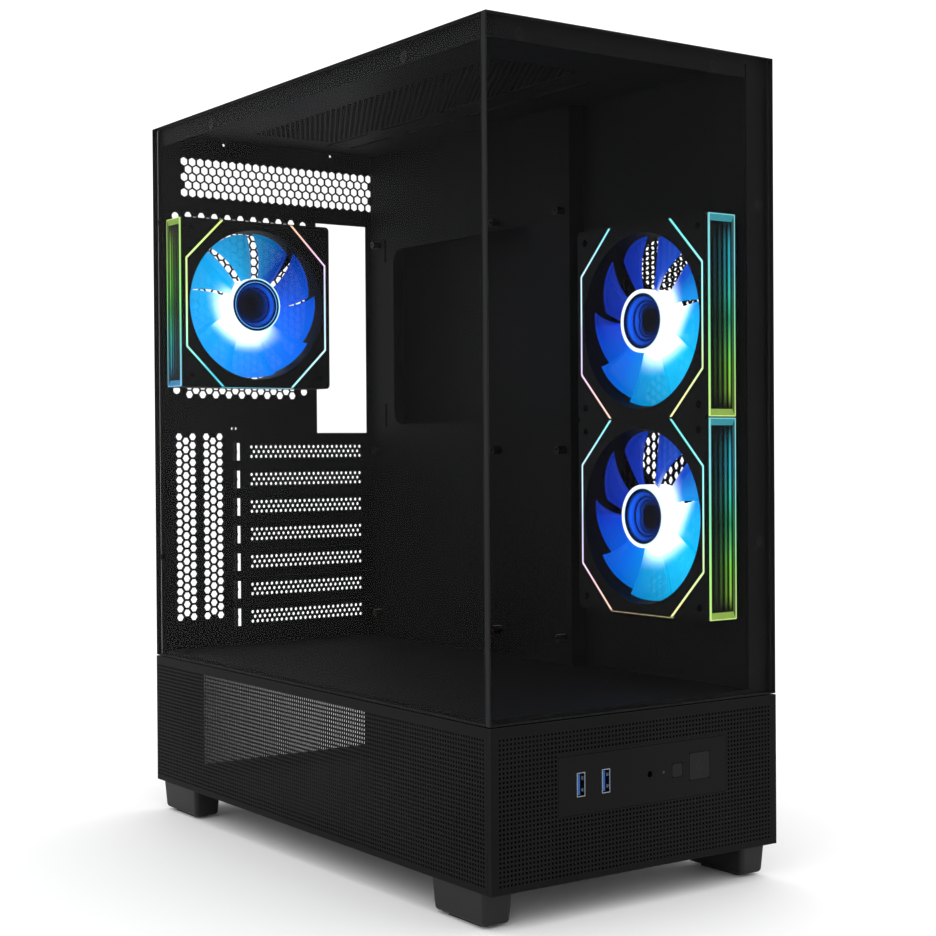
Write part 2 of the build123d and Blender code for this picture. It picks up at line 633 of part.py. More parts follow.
STATOR_R, STATOR_H = 15.0, 10.0
RING_HALF = 57.0                    # half the distance between the ring's upright sides
RING_KNEE = 31.5                    # where the upright sides turn into the diagonals
RING_END = 59.4                     # where the ring runs out at the frame's edge
MITRE = 0.414                       # tangent of half the octagon's 45 degree turn
RING_W, RING_T = 1.4, 1.2
BAR_W, BAR_L, BAR_T = 20.8, 112.0, 1.2
BAR_MIDDLE = 13.4                   # height of the light bar's centre line above the mounting face


def side_fan_plane(z):
    """The mounting face of a side fan centred at this height."""
    return Plane(origin=(FAN_WALL_X, SIDE_FAN_Y, z), x_dir=(0, -1, 0), z_dir=(-1, 0, 0))


FAN_PLANES = {
    "rear_fan": Plane(origin=(REAR_FAN[0], REAR_WALL, REAR_FAN[1]), x_dir=(-1, 0, 0), z_dir=(0, -1, 0)),
    "upper_side_fan": side_fan_plane(SIDE_FAN_Z[0]),
    "lower_side_fan": side_fan_plane(SIDE_FAN_Z[1]),
}


def ring_outline(inset):
    """Closed outline of the octagonal face ring's outer edge, moved inwards by inset."""
    half = RING_HALF - inset
    knee = RING_KNEE - inset * MITRE
    top = RING_END
    shoulder = half + knee - top
    return [(half, -knee), (half, knee), (shoulder, top), (-shoulder, top),
            (-half, knee), (-half, -knee), (-shoulder, -top), (shoulder, -top)]


for fan_name, seat in FAN_PLANES.items():
    with BuildPart() as frame:
        with BuildSketch(seat):
            RectangleRounded(FAN, FAN, FAN_CORNER)
            Circle(DUCT_R, mode=Mode.SUBTRACT)
            with GridLocations(FAN_HOLES, FAN_HOLES, 2, 2):
                Circle(FAN_HOLE_R, mode=Mode.SUBTRACT)
        extrude(amount=FAN_DEPTH)
        # motor seat on four struts, with the bearing tube standing on it
        with BuildSketch(seat):
            Circle(SEAT_R)
            with PolarLocations((SEAT_R + DUCT_R) / 2, 4, start_angle=45):
                Rectangle(DUCT_R - SEAT_R + STRUT_OVERLAP, STRUT_W)
        extrude(amount=SEAT_T)
        with BuildSketch(seat.offset(SEAT_T)):
            Circle(TUBE_R)
        extrude(amount=TUBE_TOP - SEAT_T)
        with BuildSketch(seat.offset(TUBE_FLOOR)):
            Circle(TUBE_BORE_R)
        extrude(amount=TUBE_TOP, mode=Mode.SUBTRACT)
        # pocket for the light bar, in the side facing local +X
        bar_middle = seat.from_local_coords((FAN / 2, 0, BAR_MIDDLE))
        side = Plane(origin=bar_middle, x_dir=seat.y_dir, z_dir=seat.x_dir)
        with BuildSketch(side):
            Rectangle(BAR_L, BAR_W)
        extrude(amount=-BAR_T, mode=Mode.SUBTRACT)
        # groove for the octagonal ring, in the front face
        with BuildSketch(seat.offset(FAN_DEPTH)):
            Polygon(*ring_outline(0), align=None)
            Polygon(*ring_outline(RING_W), align=None, mode=Mode.SUBTRACT)
        extrude(amount=-RING_T, mode=Mode.SUBTRACT)
    frame.part.label = f"{fan_name}_frame"
    export_step(frame.part, f"parts/{fan_name}_frame.step")

    with BuildPart() as ring:
        with BuildSketch(seat.offset(FAN_DEPTH - RING_T)):
            Polygon(*ring_outline(0), align=None)
            Polygon(*ring_outline(RING_W), align=None, mode=Mode.SUBTRACT)
        extrude(amount=RING_T)
    ring.part.label = f"{fan_name}_ring"
    export_step(ring.part, f"parts/{fan_name}_ring.step")

    with BuildPart() as bar:
        with BuildSketch(side):
            Rectangle(BAR_L, BAR_W)
        extrude(amount=-BAR_T)
    bar.part.label = f"{fan_name}_light_bar"
    export_step(bar.part, f"parts/{fan_name}_light_bar.step")

    with BuildPart() as stator:
        with BuildSketch(seat.offset(SEAT_T)):
            Circle(STATOR_R)
            Circle(TUBE_R, mode=Mode.SUBTRACT)
        extrude(amount=STATOR_H)
    stator.part.label = f"{fan_name}_stator"
    export_step(stator.part, f"parts/{fan_name}_stator.step")

    with BuildPart() as rotor:
        with BuildSketch(seat.offset(HUB_LOW)):
            Circle(HUB_R)
        extrude(amount=HUB_HIGH - HUB_LOW)
        with BuildSketch(seat.offset(HUB_LOW)):
            Circle(HUB_R - HUB_WALL)
        extrude(amount=HUB_HIGH - HUB_LOW - HUB_WALL, mode=Mode.SUBTRACT)
        for blade in range(BLADES):
            spoke = Rotation(0, 0, blade * 360 / BLADES)
            for radius, chord, pitch in zip((HUB_R - BLADE_ROOT, BLADE_TIP_R), BLADE_CHORD, BLADE_ANGLE):
                outward = Location((radius, 0, BLADE_Z), (0, 90, 0))
                local = spoke * outward * Location((0, 0, 0), (0, 0, pitch))
                with BuildSketch(Plane(seat.location * local)):
                    Rectangle(BLADE_T, chord)
            loft(ruled=True)
    rotor.part.label = f"{fan_name}_rotor"
    export_step(rotor.part, f"parts/{fan_name}_rotor.step")

    with BuildPart() as shaft:
        with BuildSketch(seat.offset(SHAFT_LOW)):
            Circle(SHAFT_R)
        extrude(amount=HUB_HIGH - HUB_WALL - SHAFT_LOW)
    shaft.part.label = f"{fan_name}_shaft"
    export_step(shaft.part, f"parts/{fan_name}_shaft.step")

# ---------------------------------------------------------------- fan screws, driven from outside the walls
SCREW_HEAD_R, SCREW_HEAD, SCREW_R, SCREW_LENGTH = 4.0, 2.2, 2.0, 7.0

with BuildPart() as fan_screws:
    for seat in FAN_PLANES.values():
        with BuildSketch(seat.offset(-STEEL)):
            with GridLocations(FAN_HOLES, FAN_HOLES, 2, 2):
                Circle(SCREW_HEAD_R)
        extrude(amount=-SCREW_HEAD)
        with BuildSketch(seat.offset(-STEEL)):
            with GridLocations(FAN_HOLES, FAN_HOLES, 2, 2):
                Circle(SCREW_R)
        extrude(amount=SCREW_LENGTH)
fan_screws.part.label = "fan_screws"
export_step(fan_screws.part, "parts/fan_screws.step")
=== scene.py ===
import json
import math
import bmesh
import bpy
from mathutils import Matrix, Vector

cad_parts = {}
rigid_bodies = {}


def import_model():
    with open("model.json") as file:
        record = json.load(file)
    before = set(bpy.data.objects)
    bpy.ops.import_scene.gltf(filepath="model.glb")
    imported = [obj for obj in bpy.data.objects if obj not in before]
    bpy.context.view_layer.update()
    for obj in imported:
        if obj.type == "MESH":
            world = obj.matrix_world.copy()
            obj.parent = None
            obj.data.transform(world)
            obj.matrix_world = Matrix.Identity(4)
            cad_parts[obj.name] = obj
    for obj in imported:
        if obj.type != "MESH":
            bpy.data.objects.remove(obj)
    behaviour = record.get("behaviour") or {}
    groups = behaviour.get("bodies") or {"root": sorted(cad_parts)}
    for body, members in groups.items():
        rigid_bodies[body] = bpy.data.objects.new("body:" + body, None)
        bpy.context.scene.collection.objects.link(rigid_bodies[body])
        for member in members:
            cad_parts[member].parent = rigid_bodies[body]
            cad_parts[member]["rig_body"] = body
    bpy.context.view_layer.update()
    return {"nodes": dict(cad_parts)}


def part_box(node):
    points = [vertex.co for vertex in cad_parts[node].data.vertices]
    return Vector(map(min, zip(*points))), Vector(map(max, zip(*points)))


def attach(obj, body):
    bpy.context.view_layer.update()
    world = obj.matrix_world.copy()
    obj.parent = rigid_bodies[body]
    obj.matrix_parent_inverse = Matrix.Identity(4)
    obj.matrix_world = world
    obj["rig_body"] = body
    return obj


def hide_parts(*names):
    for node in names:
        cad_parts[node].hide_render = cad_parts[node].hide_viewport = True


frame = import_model()
MM = 0.001

# ---------------------------------------------------------------- folded steel chassis
# Base pan, shroud, motherboard tray, front pillar and lower front frame: 1 mm cold-rolled steel, folded and
# riveted, then powder coated satin black in one go, so all of them share one fine-grained finish.


def add(tree, kind, feeds=None, **settings):
    """A new node in a tree. feeds holds its inputs by name or number: a value, or another node's output."""
    made = tree.nodes.new(kind)
    for name, value in settings.items():
        setattr(made, name, value)
    for name, value in (feeds or {}).items():
        if isinstance(value, bpy.types.NodeSocket):
            tree.links.new(value, made.inputs[name])
        else:
            made.inputs[name].default_value = value
    return made


def sums(tree, operation, *values):
    """The output of one math node on the given values or sockets."""
    return add(tree, "ShaderNodeMath", dict(enumerate(values)), operation=operation).outputs[0]


def spread(tree, value, start=(0.0, 1.0), end=(0.0, 1.0)):
    """A value carried in a straight line from one range to another, and held at its ends."""
    return add(tree, "ShaderNodeMapRange", dict(enumerate((value, *start, *end)))).outputs[0]


def noise(tree, place, scale, detail=2.0, distortion=0.0):
    """Soft noise from 0 to 1; scale is in waves to the metre."""
    return add(tree, "ShaderNodeTexNoise", {"Vector": place, "Scale": scale, "Detail": detail,
                                            "Distortion": distortion}).outputs[0]


def ramp(tree, share, stops):
    """The colour that a row of (place, colour) stops gives at a share from 0 to 1."""
    made = add(tree, "ShaderNodeValToRGB", {0: share})
    elements = made.color_ramp.elements
    while len(elements) < len(stops):
        elements.new(0.5)
    for element, (place, colour) in zip(elements, stops):
        element.position = place
        element.color = (*colour, 1)
    return made.outputs[0]


def finish(name, roughness, specular=0.5, metallic=0.0):
    """A new material: its tree, its shader, and the piece's own coordinates."""
    material = bpy.data.materials.new(name)
    material.use_nodes = True
    tree = material.node_tree
    shader = tree.nodes["Principled BSDF"]
    shader.inputs["Roughness"].default_value = roughness
    shader.inputs["Specular IOR Level"].default_value = specular
    shader.inputs["Metallic"].default_value = metallic
    place = add(tree, "ShaderNodeTexCoord").outputs["Object"]
    return material, tree, shader, place


def surface(tree, shader, colour, gloss, height, strength, depth):
    """Feeds a shader its colour, its gloss where that varies, and relief of this strength and depth."""
    tree.links.new(colour, shader.inputs["Base Color"])
    if gloss is not None:
        tree.links.new(gloss, shader.inputs["Roughness"])
    bump = add(tree, "ShaderNodeBump", {"Height": height, "Strength": strength, "Distance": depth})
    tree.links.new(bump.outputs[0], shader.inputs["Normal"])


def coated(name, dark, light, roughness, grain, relief, specular, worn=None):
    """Paint, plastic or rubber: drifting tone, raised grain, uneven gloss, edges rubbed to the colour worn."""
    material, tree, shader, place = finish(name, roughness, specular)
    cloud = noise(tree, place, 14.0, 4.0)
    speck = noise(tree, place, grain)
    mixed = sums(tree, "MULTIPLY_ADD", speck, 0.45, sums(tree, "MULTIPLY", cloud, 0.55))
    colour = ramp(tree, mixed, [(0.36, dark), (0.64, light)])
    if worn:
        rounded = add(tree, "ShaderNodeBevel", {"Radius": 0.9 * MM}, samples=6).outputs[0]
        flat = add(tree, "ShaderNodeNewGeometry").outputs["Normal"]
        facing = add(tree, "ShaderNodeVectorMath", {0: rounded, 1: flat},
                     operation="DOT_PRODUCT").outputs["Value"]
        edge = sums(tree, "MULTIPLY", sums(tree, "SUBTRACT", 1.0, facing), 4.0)
        rubbed = sums(tree, "MULTIPLY", sums(tree, "MINIMUM", edge, 1.0), cloud)
        colour = add(tree, "ShaderNodeMix", {0: rubbed, 6: colour, 7: (*worn, 1)},
                     data_type="RGBA").outputs[2]
    gloss = spread(tree, mixed, end=(roughness - 0.07, roughness + 0.07))
    surface(tree, shader, colour, gloss, speck, relief, 0.05 * MM)
    return material


def wear(material, *nodes):
    """Gives CAD nodes a material in every slot."""
    for name in nodes:
        for slot in frame["nodes"][name].material_slots:
            slot.material = material


chassis_paint = coated("satin black powder coat", (0.0022, 0.0022, 0.0023), (0.0036, 0.0036, 0.0038),
                       0.55, 2600, 0.12, 0.05)
wear(chassis_paint, "base_pan", "psu_shroud", "motherboard_tray", "front_pillar", "front_frame")

# ---------------------------------------------------------------- punched sheets of the chassis
# The rear wall, the seven expansion slot covers, the side fan wall and the top sheet are the same coated
# steel, punched with vents before folding. The holes are cut through the sheets' own shape, one pattern at
# a time.


def start_tree(name, stock, **sockets):
    """A new geometry tree and its inputs: one geometry, those named for each kind, and a Finish material."""
    tree = bpy.data.node_groups.new(name, "GeometryNodeTree")
    tree.interface.new_socket(stock, in_out="INPUT", socket_type="NodeSocketGeometry")
    for kind, names in {**sockets, "Material": ["Finish"]}.items():
        for socket in names:
            tree.interface.new_socket(socket, in_out="INPUT", socket_type="NodeSocket" + kind)
    tree.interface.new_socket("Result", in_out="OUTPUT", socket_type="NodeSocketGeometry")
    return tree, tree.nodes.new("NodeGroupInput").outputs


def end_tree(tree, given, geometry):
    """Ends a geometry tree: its instances are made real and painted, and go out."""
    whole = add(tree, "GeometryNodeRealizeInstances", {0: geometry}).outputs[0]
    painted = add(tree, "GeometryNodeSetMaterial", {"Geometry": whole, "Material": given["Finish"]})
    tree.links.new(painted.outputs[0], tree.nodes.new("NodeGroupOutput").inputs[0])
    return tree


def vectors(tree, operation, *values):
    """The output of one vector math node on the given vectors or sockets."""
    return add(tree, "ShaderNodeVectorMath", dict(enumerate(values)), operation=operation).outputs[0]


def combined(tree, axes):
    """A vector made of numbers or sockets, given by axis: 0, 1 or 2."""
    return add(tree, "ShaderNodeCombineXYZ", axes).outputs[0]


def set_out(tree, points, thing, turn=None):
    """One copy of a thing on each point, turned if a turn is given."""
    feeds = {"Points": points, "Instance": thing}
    if turn is not None:
        feeds["Rotation"] = turn
    return add(tree, "GeometryNodeInstanceOnPoints", feeds).outputs[0]


def moved(tree, geometry, by, turn=None):
    """Geometry moved, and turned if a turn is given."""
    feeds = {"Geometry": geometry, "Translation": by}
    if turn is not None:
        feeds["Rotation"] = turn
    return add(tree, "GeometryNodeTransform", feeds).outputs[0]


def punch_tree():
    """Geometry nodes that punch a grid of many-sided holes through a sheet.

    Holes are left out past Reach, in the corners past Screw Land both ways, and in the Spared rectangle."""
    tree, given = start_tree(
        "punched holes", "Sheet", Int=("Columns", "Rows", "Sides"),
        Float=("Radius", "Turn", "Odd Row Shift", "Odd Column Shift", "Screw Land", "Depth"),
        Vector=("Pitch", "Reach", "Spared Centre", "Spared Half", "Place", "Facing"))

    def part(socket, axis):
        return add(tree, "ShaderNodeSeparateXYZ", {0: socket}).outputs[axis]

    index = add(tree, "GeometryNodeInputIndex").outputs[0]
    count = sums(tree, "MULTIPLY", given["Columns"], given["Rows"])
    row = sums(tree, "FLOOR", sums(tree, "DIVIDE", sums(tree, "ADD", index, 0.5), given["Columns"]))
    column = sums(tree, "SUBTRACT", index, sums(tree, "MULTIPLY", row, given["Columns"]))
    spots = []
    for along, other, total, shift, axis in ((column, row, "Columns", "Odd Row Shift", 0),
                                             (row, column, "Rows", "Odd Column Shift", 1)):
        middle = sums(tree, "MULTIPLY", sums(tree, "SUBTRACT", given[total], 1.0), 0.5)
        step = sums(tree, "MULTIPLY", sums(tree, "SUBTRACT", along, middle), part(given["Pitch"], axis))
        odd = sums(tree, "MODULO", other, 2.0)
        spots.append(sums(tree, "MULTIPLY_ADD", odd, given[shift], step))
    spot = combined(tree, {0: spots[0], 1: spots[1]})
    points = add(tree, "GeometryNodePoints", {"Count": count, "Position": spot}).outputs[0]
    at = add(tree, "GeometryNodeInputPosition").outputs[0]
    far = [sums(tree, "ABSOLUTE", part(at, axis)) for axis in (0, 1)]
    out = [sums(tree, "GREATER_THAN", far[axis], part(given["Reach"], axis)) for axis in (0, 1)]
    land = [sums(tree, "GREATER_THAN", far[axis], given["Screw Land"]) for axis in (0, 1)]
    off = vectors(tree, "SUBTRACT", at, given["Spared Centre"])
    near = [sums(tree, "LESS_THAN", sums(tree, "ABSOLUTE", part(off, axis)), part(given["Spared Half"], axis))
            for axis in (0, 1)]
    dropped = sums(tree, "ADD", sums(tree, "ADD", *out),
                   sums(tree, "ADD", sums(tree, "MULTIPLY", *land), sums(tree, "MULTIPLY", *near)))
    kept = add(tree, "GeometryNodeDeleteGeometry", {"Geometry": points, "Selection": dropped}, domain="POINT")
    punch = add(tree, "GeometryNodeMeshCylinder", {"Vertices": given["Sides"], "Radius": given["Radius"],
                                                   "Depth": given["Depth"]}).outputs["Mesh"]
    punches = set_out(tree, kept.outputs[0], punch, combined(tree, {2: given["Turn"]}))
    solid = add(tree, "GeometryNodeRealizeInstances", {0: punches}).outputs[0]
    placed = moved(tree, solid, given["Place"], given["Facing"])
    cut = add(tree, "GeometryNodeMeshBoolean", {"Mesh 1": given["Sheet"], "Mesh 2": placed},
              operation="DIFFERENCE", solver="MANIFOLD").outputs[0]
    return end_tree(tree, given, cut)


PUNCH = punch_tree()
HEX_TURN = math.radians(30)
SQUARE_TURN = math.radians(45)
FACING_FRONT = (math.radians(90), 0, 0)
FACING_SIDE = (math.radians(90), 0, math.radians(90))
FACING_UP = (0, 0, 0)
FREE = 1.0  # a reach or land that no sheet is large enough to meet
HALF_SHEET = 0.5 * MM


def modifier(piece, tree, values):
    """Puts a node tree on a piece, with its named inputs set."""
    made = piece.modifiers.new(tree.name, "NODES")
    made.node_group = tree
    for item in tree.interface.items_tree:
        if item.in_out == "INPUT" and item.name in values:
            made[item.identifier] = values[item.name]


def baked(piece):
    """Turns a piece with its modifiers into a plain mesh of the same name."""
    plain = bpy.data.meshes.new_from_object(piece.evaluated_get(bpy.context.evaluated_depsgraph_get()))
    piece.modifiers.clear()
    piece.data = plain
    return piece


def mesh_of(name, shape):
    """Turns a finished shape into a mesh, and lets the shape go."""
    mesh = bpy.data.meshes.new(name)
    shape.to_mesh(mesh)
    shape.free()
    return mesh


def shown(name, mesh):
    """A new object at the origin that shows a mesh."""
    made = bpy.data.objects.new(name, mesh)
    bpy.context.scene.collection.objects.link(made)
    return made


def copied(node, name):
    """A copy of a CAD node's shape, with its loose triangles merged."""
    shape = bmesh.new()
    shape.from_mesh(frame["nodes"][node].data)
    bmesh.ops.remove_doubles(shape, verts=shape.verts, dist=0.001 * MM)
    mesh = mesh_of(name, shape)
    mesh.materials.clear()
    return shown(name, mesh)


SAME_PLANE = 0.01 * MM


def punched(node, name, material, patterns, thinned=None):
    """Stands a punched sheet in for a CAD node; thinned moves the inner face at one x out by a distance."""
    piece = copied(node, name)
    if thinned:
        for vertex in piece.data.vertices:
            if abs(vertex.co.x - thinned[0]) < SAME_PLANE:
                vertex.co.x -= thinned[1]
    for pattern in patterns:
        settings = {"Sides": 6, "Turn": 0.0, "Odd Row Shift": 0.0, "Odd Column Shift": 0.0, "Depth": 3 * MM,
                    "Reach": (FREE, FREE, FREE), "Screw Land": FREE, "Spared Half": (0, 0, 0),
                    "Facing": FACING_FRONT, "Finish": material}
        settings.update(pattern)
        modifier(piece, PUNCH, settings)
    baked(piece)
    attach(piece, frame["nodes"][node]["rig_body"])
    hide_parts(node)
    return piece


def fan_centre(fan):
    """The middle of a fan's mounting face."""
    low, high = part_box(fan + "_frame")
    if fan == "rear_fan":
        return Vector(((low.x + high.x) / 2, high.y, (low.z + high.z) / 2))
    return Vector((high.x, (low.y + high.y) / 2, (low.z + high.z) / 2))


GRILLE = {"Columns": 21, "Rows": 22, "Radius": 2.95 * MM, "Pitch": (5.3 * MM, 6.15 * MM, 0),
          "Odd Column Shift": 3.075 * MM, "Screw Land": 46 * MM}
wall_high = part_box("rear_panel")[1]
wall_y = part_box("rear_fan_frame")[1].y + HALF_SHEET
grille_at = fan_centre("rear_fan")
rear_vents = [
    # the fan's grille, and the four holes for its screws
    {**GRILLE, "Reach": (54 * MM, 66 * MM, 0), "Place": (grille_at.x, wall_y, grille_at.z)},
    {"Columns": 2, "Rows": 2, "Radius": 2.9 * MM, "Sides": 12, "Pitch": (105 * MM, 125 * MM, 0),
     "Place": (grille_at.x, wall_y, grille_at.z + 1.0 * MM)},
    # the wide vent at the top, and two screw holes above it
    {"Columns": 25, "Rows": 5, "Radius": 3.15 * MM, "Turn": HEX_TURN, "Pitch": (6.5 * MM, 5.6 * MM, 0),
     "Odd Row Shift": -3.25 * MM, "Reach": (78.2 * MM, FREE, 0),
     "Place": (-5.6 * MM, wall_y, wall_high.z - 28.3 * MM)},
    {"Columns": 2, "Rows": 1, "Radius": 1.1 * MM, "Sides": 12, "Pitch": (90 * MM, 0, 0),
     "Place": (-6.7 * MM, wall_y, wall_high.z - 2.6 * MM)},
    # three small holes beside the slot covers
    {"Columns": 3, "Rows": 1, "Radius": 1.2 * MM, "Sides": 4, "Turn": SQUARE_TURN, "Pitch": (1.5 * MM, 0, 0),
     "Place": (-45.3 * MM, wall_y, 272.3 * MM)},
]
for vent_x in (-84.0, -62.35):  # two tall vents beside the slots
    rear_vents.append({"Columns": 3, "Rows": 22, "Radius": 2.75 * MM, "Pitch": (5.4 * MM, 6.21 * MM, 0),
                       "Odd Column Shift": 3.105 * MM, "Reach": (FREE, 66 * MM, 0),
                       "Place": (vent_x * MM, wall_y, 201.1 * MM)})
punched("rear_panel", "rear_wall", chassis_paint, rear_vents)

for number in range(1, 8):
    node = f"slot_cover_{number}"
    low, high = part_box(node)
    punched(node, f"slot_cover_{number}_vented", chassis_paint, [
        {"Columns": 24, "Rows": 3, "Radius": 1.27 * MM, "Sides": 8, "Pitch": (4.06 * MM, 3.5 * MM, 0),
         "Odd Row Shift": 2.03 * MM, "Reach": (47 * MM, FREE, 0),
         "Place": (15.35 * MM, low.y + HALF_SHEET, (low.z + high.z) / 2)}])

side_fans = ("upper_side_fan", "lower_side_fan")


def side_vents(x):
    """The two lattices of holes behind the side fans, in a sheet at this x."""
    return [{**GRILLE, "Reach": (50 * MM, 58.5 * MM, 0), "Facing": FACING_SIDE,
             "Place": (x, fan_centre(fan).y, fan_centre(fan).z)} for fan in side_fans]


punched("side_fan_wall", "side_fan_wall_vented", chassis_paint,
        side_vents(fan_centre("upper_side_fan").x + HALF_SHEET))

roof_z = wall_high.z + HALF_SHEET
punched("top_panel", "top_sheet", chassis_paint, [
    {"Columns": 16, "Rows": 84, "Radius": 1.75 * MM, "Turn": HEX_TURN, "Pitch": (4.0 * MM, 3.46 * MM, 0),
     "Odd Row Shift": 2.0 * MM, "Place": (-16.0 * MM, 13.5 * MM, roof_z), "Facing": FACING_UP}])

# ---------------------------------------------------------------- outer steel: side panel and lower band
# The far side panel and the two band panels that clip on under the glass: 1 mm steel with a matt, slightly
# coarser powder coat. The band is punched with 1.5 mm square holes at 2.5 mm pitch, the side behind its fans.
band_paint = coated("matt black powder coat", (0.003, 0.003, 0.0031), (0.0052, 0.0052, 0.0053),
                    0.58, 1900, 0.5, 0.06, worn=(0.02, 0.02, 0.0205))
punched("right_side_panel", "steel_side_panel", band_paint,
        side_vents(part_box("right_side_panel")[1].x - HALF_SHEET))
HOLE_HALF = 0.75 * MM
WEB_CUT = 0.3 * MM  # so much thinner is the side's web between the holes
BAND_DROP = 1.15 * MM  # the lattice sits this far below the band's middle
square = {"Sides": 4, "Turn": SQUARE_TURN, "Radius": HOLE_HALF * math.sqrt(2), "Rows": 32,
          "Pitch": (2.5 * MM, 2.5 * MM, 0)}
low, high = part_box("lower_side_mesh")
punched("lower_side_mesh", "side_band_grille", band_paint, [
    {**square, "Columns": 161, "Facing": FACING_SIDE,
     "Place": (low.x + HALF_SHEET, 1.45 * MM, (low.z + high.z) / 2 - BAND_DROP)}],
    thinned=(low.x + 1.0 * MM, WEB_CUT))
low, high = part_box("lower_front_mesh")
plate_low, plate_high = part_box("front_io_plate")
plate_middle = (plate_low + plate_high) / 2
middle_z = (low.z + high.z) / 2 - BAND_DROP
punched("lower_front_mesh", "front_band_grille", band_paint, [
    {**square, "Columns": 80, "Place": (0, low.y + HALF_SHEET, middle_z),
     "Spared Centre": (plate_middle.x, plate_middle.z - middle_z, 0),
     "Spared Half": (63 * MM, 17.4 * MM, 0)}])

# ---------------------------------------------------------------- glass side and front
# Two panes of 4 mm tempered glass, very lightly smoked, with ground and bevelled edges that catch the light
# as thin grey lines. Blackened steel studs bonded to their backs press into the chassis flanges.
pane, tree, shader, place = finish("smoked glass", 0.06, 0.25)
smear = noise(tree, place, 9.0, 3.0, 1.5)
tint = ramp(tree, smear, [(0.3, (0.004, 0.004, 0.0045)), (0.7, (0.008, 0.008, 0.0088))])
surface(tree, shader, tint, spread(tree, smear, end=(0.04, 0.14)), smear, 0.02, 0.1 * MM)
shader.inputs["Alpha"].default_value = 0.06

ground, tree, shader, place = finish("ground glass edge", 0.45, 0.1)
speck = noise(tree, place, 1500.0)
tone = ramp(tree, speck, [(0.3, (0.004, 0.0043, 0.0046)), (0.7, (0.010, 0.0105, 0.011))])
surface(tree, shader, tone, spread(tree, speck, end=(0.35, 0.55)), speck, 0.4, 0.03 * MM)


def block(name, low, high, bevel, segments=2):
    """A box between two corners with rounded edges."""
    shape = bmesh.new()
    bmesh.ops.create_cube(shape, size=1)
    size = Vector(high) - Vector(low)
    middle = (Vector(high) + Vector(low)) / 2
    bmesh.ops.transform(shape, verts=shape.verts, matrix=Matrix.LocRotScale(middle, None, size))
    if bevel:
        bmesh.ops.bevel(shape, geom=shape.edges, offset=bevel, segments=segments, profile=0.5, affect="EDGES")
    return shown(name, mesh_of(name, shape))


for node, axis, body in (("glass_side_panel", 0, "glass_side"), ("glass_front_panel", 1, "glass_front")):
    sheet_of_glass = block(node.replace("panel", "pane"), *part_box(node), 0.5 * MM)
    sheet_of_glass.data.materials.append(pane)
    sheet_of_glass.data.materials.append(ground)
    for face in sheet_of_glass.data.polygons:
        face.material_index = 0 if abs(face.normal[axis]) > 0.99 else 1
    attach(sheet_of_glass, body)
    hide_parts(node)


def metal(name, dark, light, roughness, scale, stretch=(1, 1, 1)):
    """Bare or plated metal: turning or rolling marks in tone, gloss and relief."""
    material, tree, shader, place = finish(name, roughness, metallic=1.0)
    drawn = add(tree, "ShaderNodeMapping", {"Vector": place, "Scale": stretch}).outputs[0]
    marks = noise(tree, drawn, scale, 3.0)
    gloss = spread(tree, marks, end=(roughness * 0.7, roughness * 1.4))
    surface(tree, shader, ramp(tree, marks, [(0.3, dark), (0.7, light)]), gloss, marks, 0.15, 0.02 * MM)
    return material


turned_steel = metal("blackened steel", (0.008, 0.008, 0.0085), (0.02, 0.02, 0.021), 0.4, 2200)
wear(turned_steel, "glass_side_studs", "glass_front_studs")

# ---------------------------------------------------------------- feet
# Four moulded ABS blocks with a slight draft and a fine spark-eroded grain, screwed up into the base pan.
# A thin rubber pad glued under each one stands on the floor.
foot_plastic = coated("grained foot plastic", (0.005, 0.0052, 0.0052), (0.0085, 0.0087, 0.0087),
                      0.55, 1500, 0.6, 0.25, worn=(0.05, 0.05, 0.05))
wear(foot_plastic, *[f"foot_{end}_{side}" for end in ("front", "rear") for side in ("left", "right")])
pad_rubber = coated("pad rubber", (0.012, 0.012, 0.012), (0.022, 0.022, 0.022), 0.8, 900, 0.7, 0.2)
wear(pad_rubber, "foot_pads")

# ---------------------------------------------------------------- woven dust filters
# The filter on the roof and the one that slides in under the power supply: fine nylon thread woven square,
# held in a thin moulded border. Both lift out to be cleaned.


def weave_tree():
    """Geometry nodes that lay threads both ways across a rectangle, one set over the other."""
    tree, given = start_tree("woven threads", "Border", Vector=("Size", "Middle"), Float=("Pitch", "Thread"))
    size = add(tree, "ShaderNodeSeparateXYZ", {0: given["Size"]}).outputs
    sets = []
    for axis in (0, 1):
        count = sums(tree, "FLOOR", sums(tree, "DIVIDE", size[1 - axis], given["Pitch"]))
        step = sums(tree, "DIVIDE", size[1 - axis], count)
        index = add(tree, "GeometryNodeInputIndex").outputs[0]
        half = sums(tree, "MULTIPLY", size[1 - axis], -0.5)
        along = sums(tree, "MULTIPLY_ADD", sums(tree, "ADD", index, 0.5), step, half)
        rise = sums(tree, "MULTIPLY", given["Thread"], 0.4 * (1 - 2 * axis))
        spot = combined(tree, {1 - axis: along, 2: rise})
        points = add(tree, "GeometryNodePoints", {"Count": count, "Position": spot}).outputs[0]
        bar = combined(tree, {axis: size[axis], 1 - axis: given["Thread"], 2: given["Thread"]})
        thread = add(tree, "GeometryNodeMeshCube", {"Size": bar}).outputs["Mesh"]
        sets.append(set_out(tree, points, thread))
    both = add(tree, "GeometryNodeJoinGeometry")
    for threads in sets:
        tree.links.new(threads, both.inputs[0])
    framed = add(tree, "GeometryNodeJoinGeometry")
    tree.links.new(moved(tree, both.outputs[0], given["Middle"]), framed.inputs[0])
    tree.links.new(given["Border"], framed.inputs[0])
    return end_tree(tree, given, framed.outputs[0])


WEAVE = weave_tree()
filter_nylon = coated("filter nylon", (0.008, 0.008, 0.008), (0.016, 0.016, 0.016), 0.6, 3000, 0.3, 0.25)


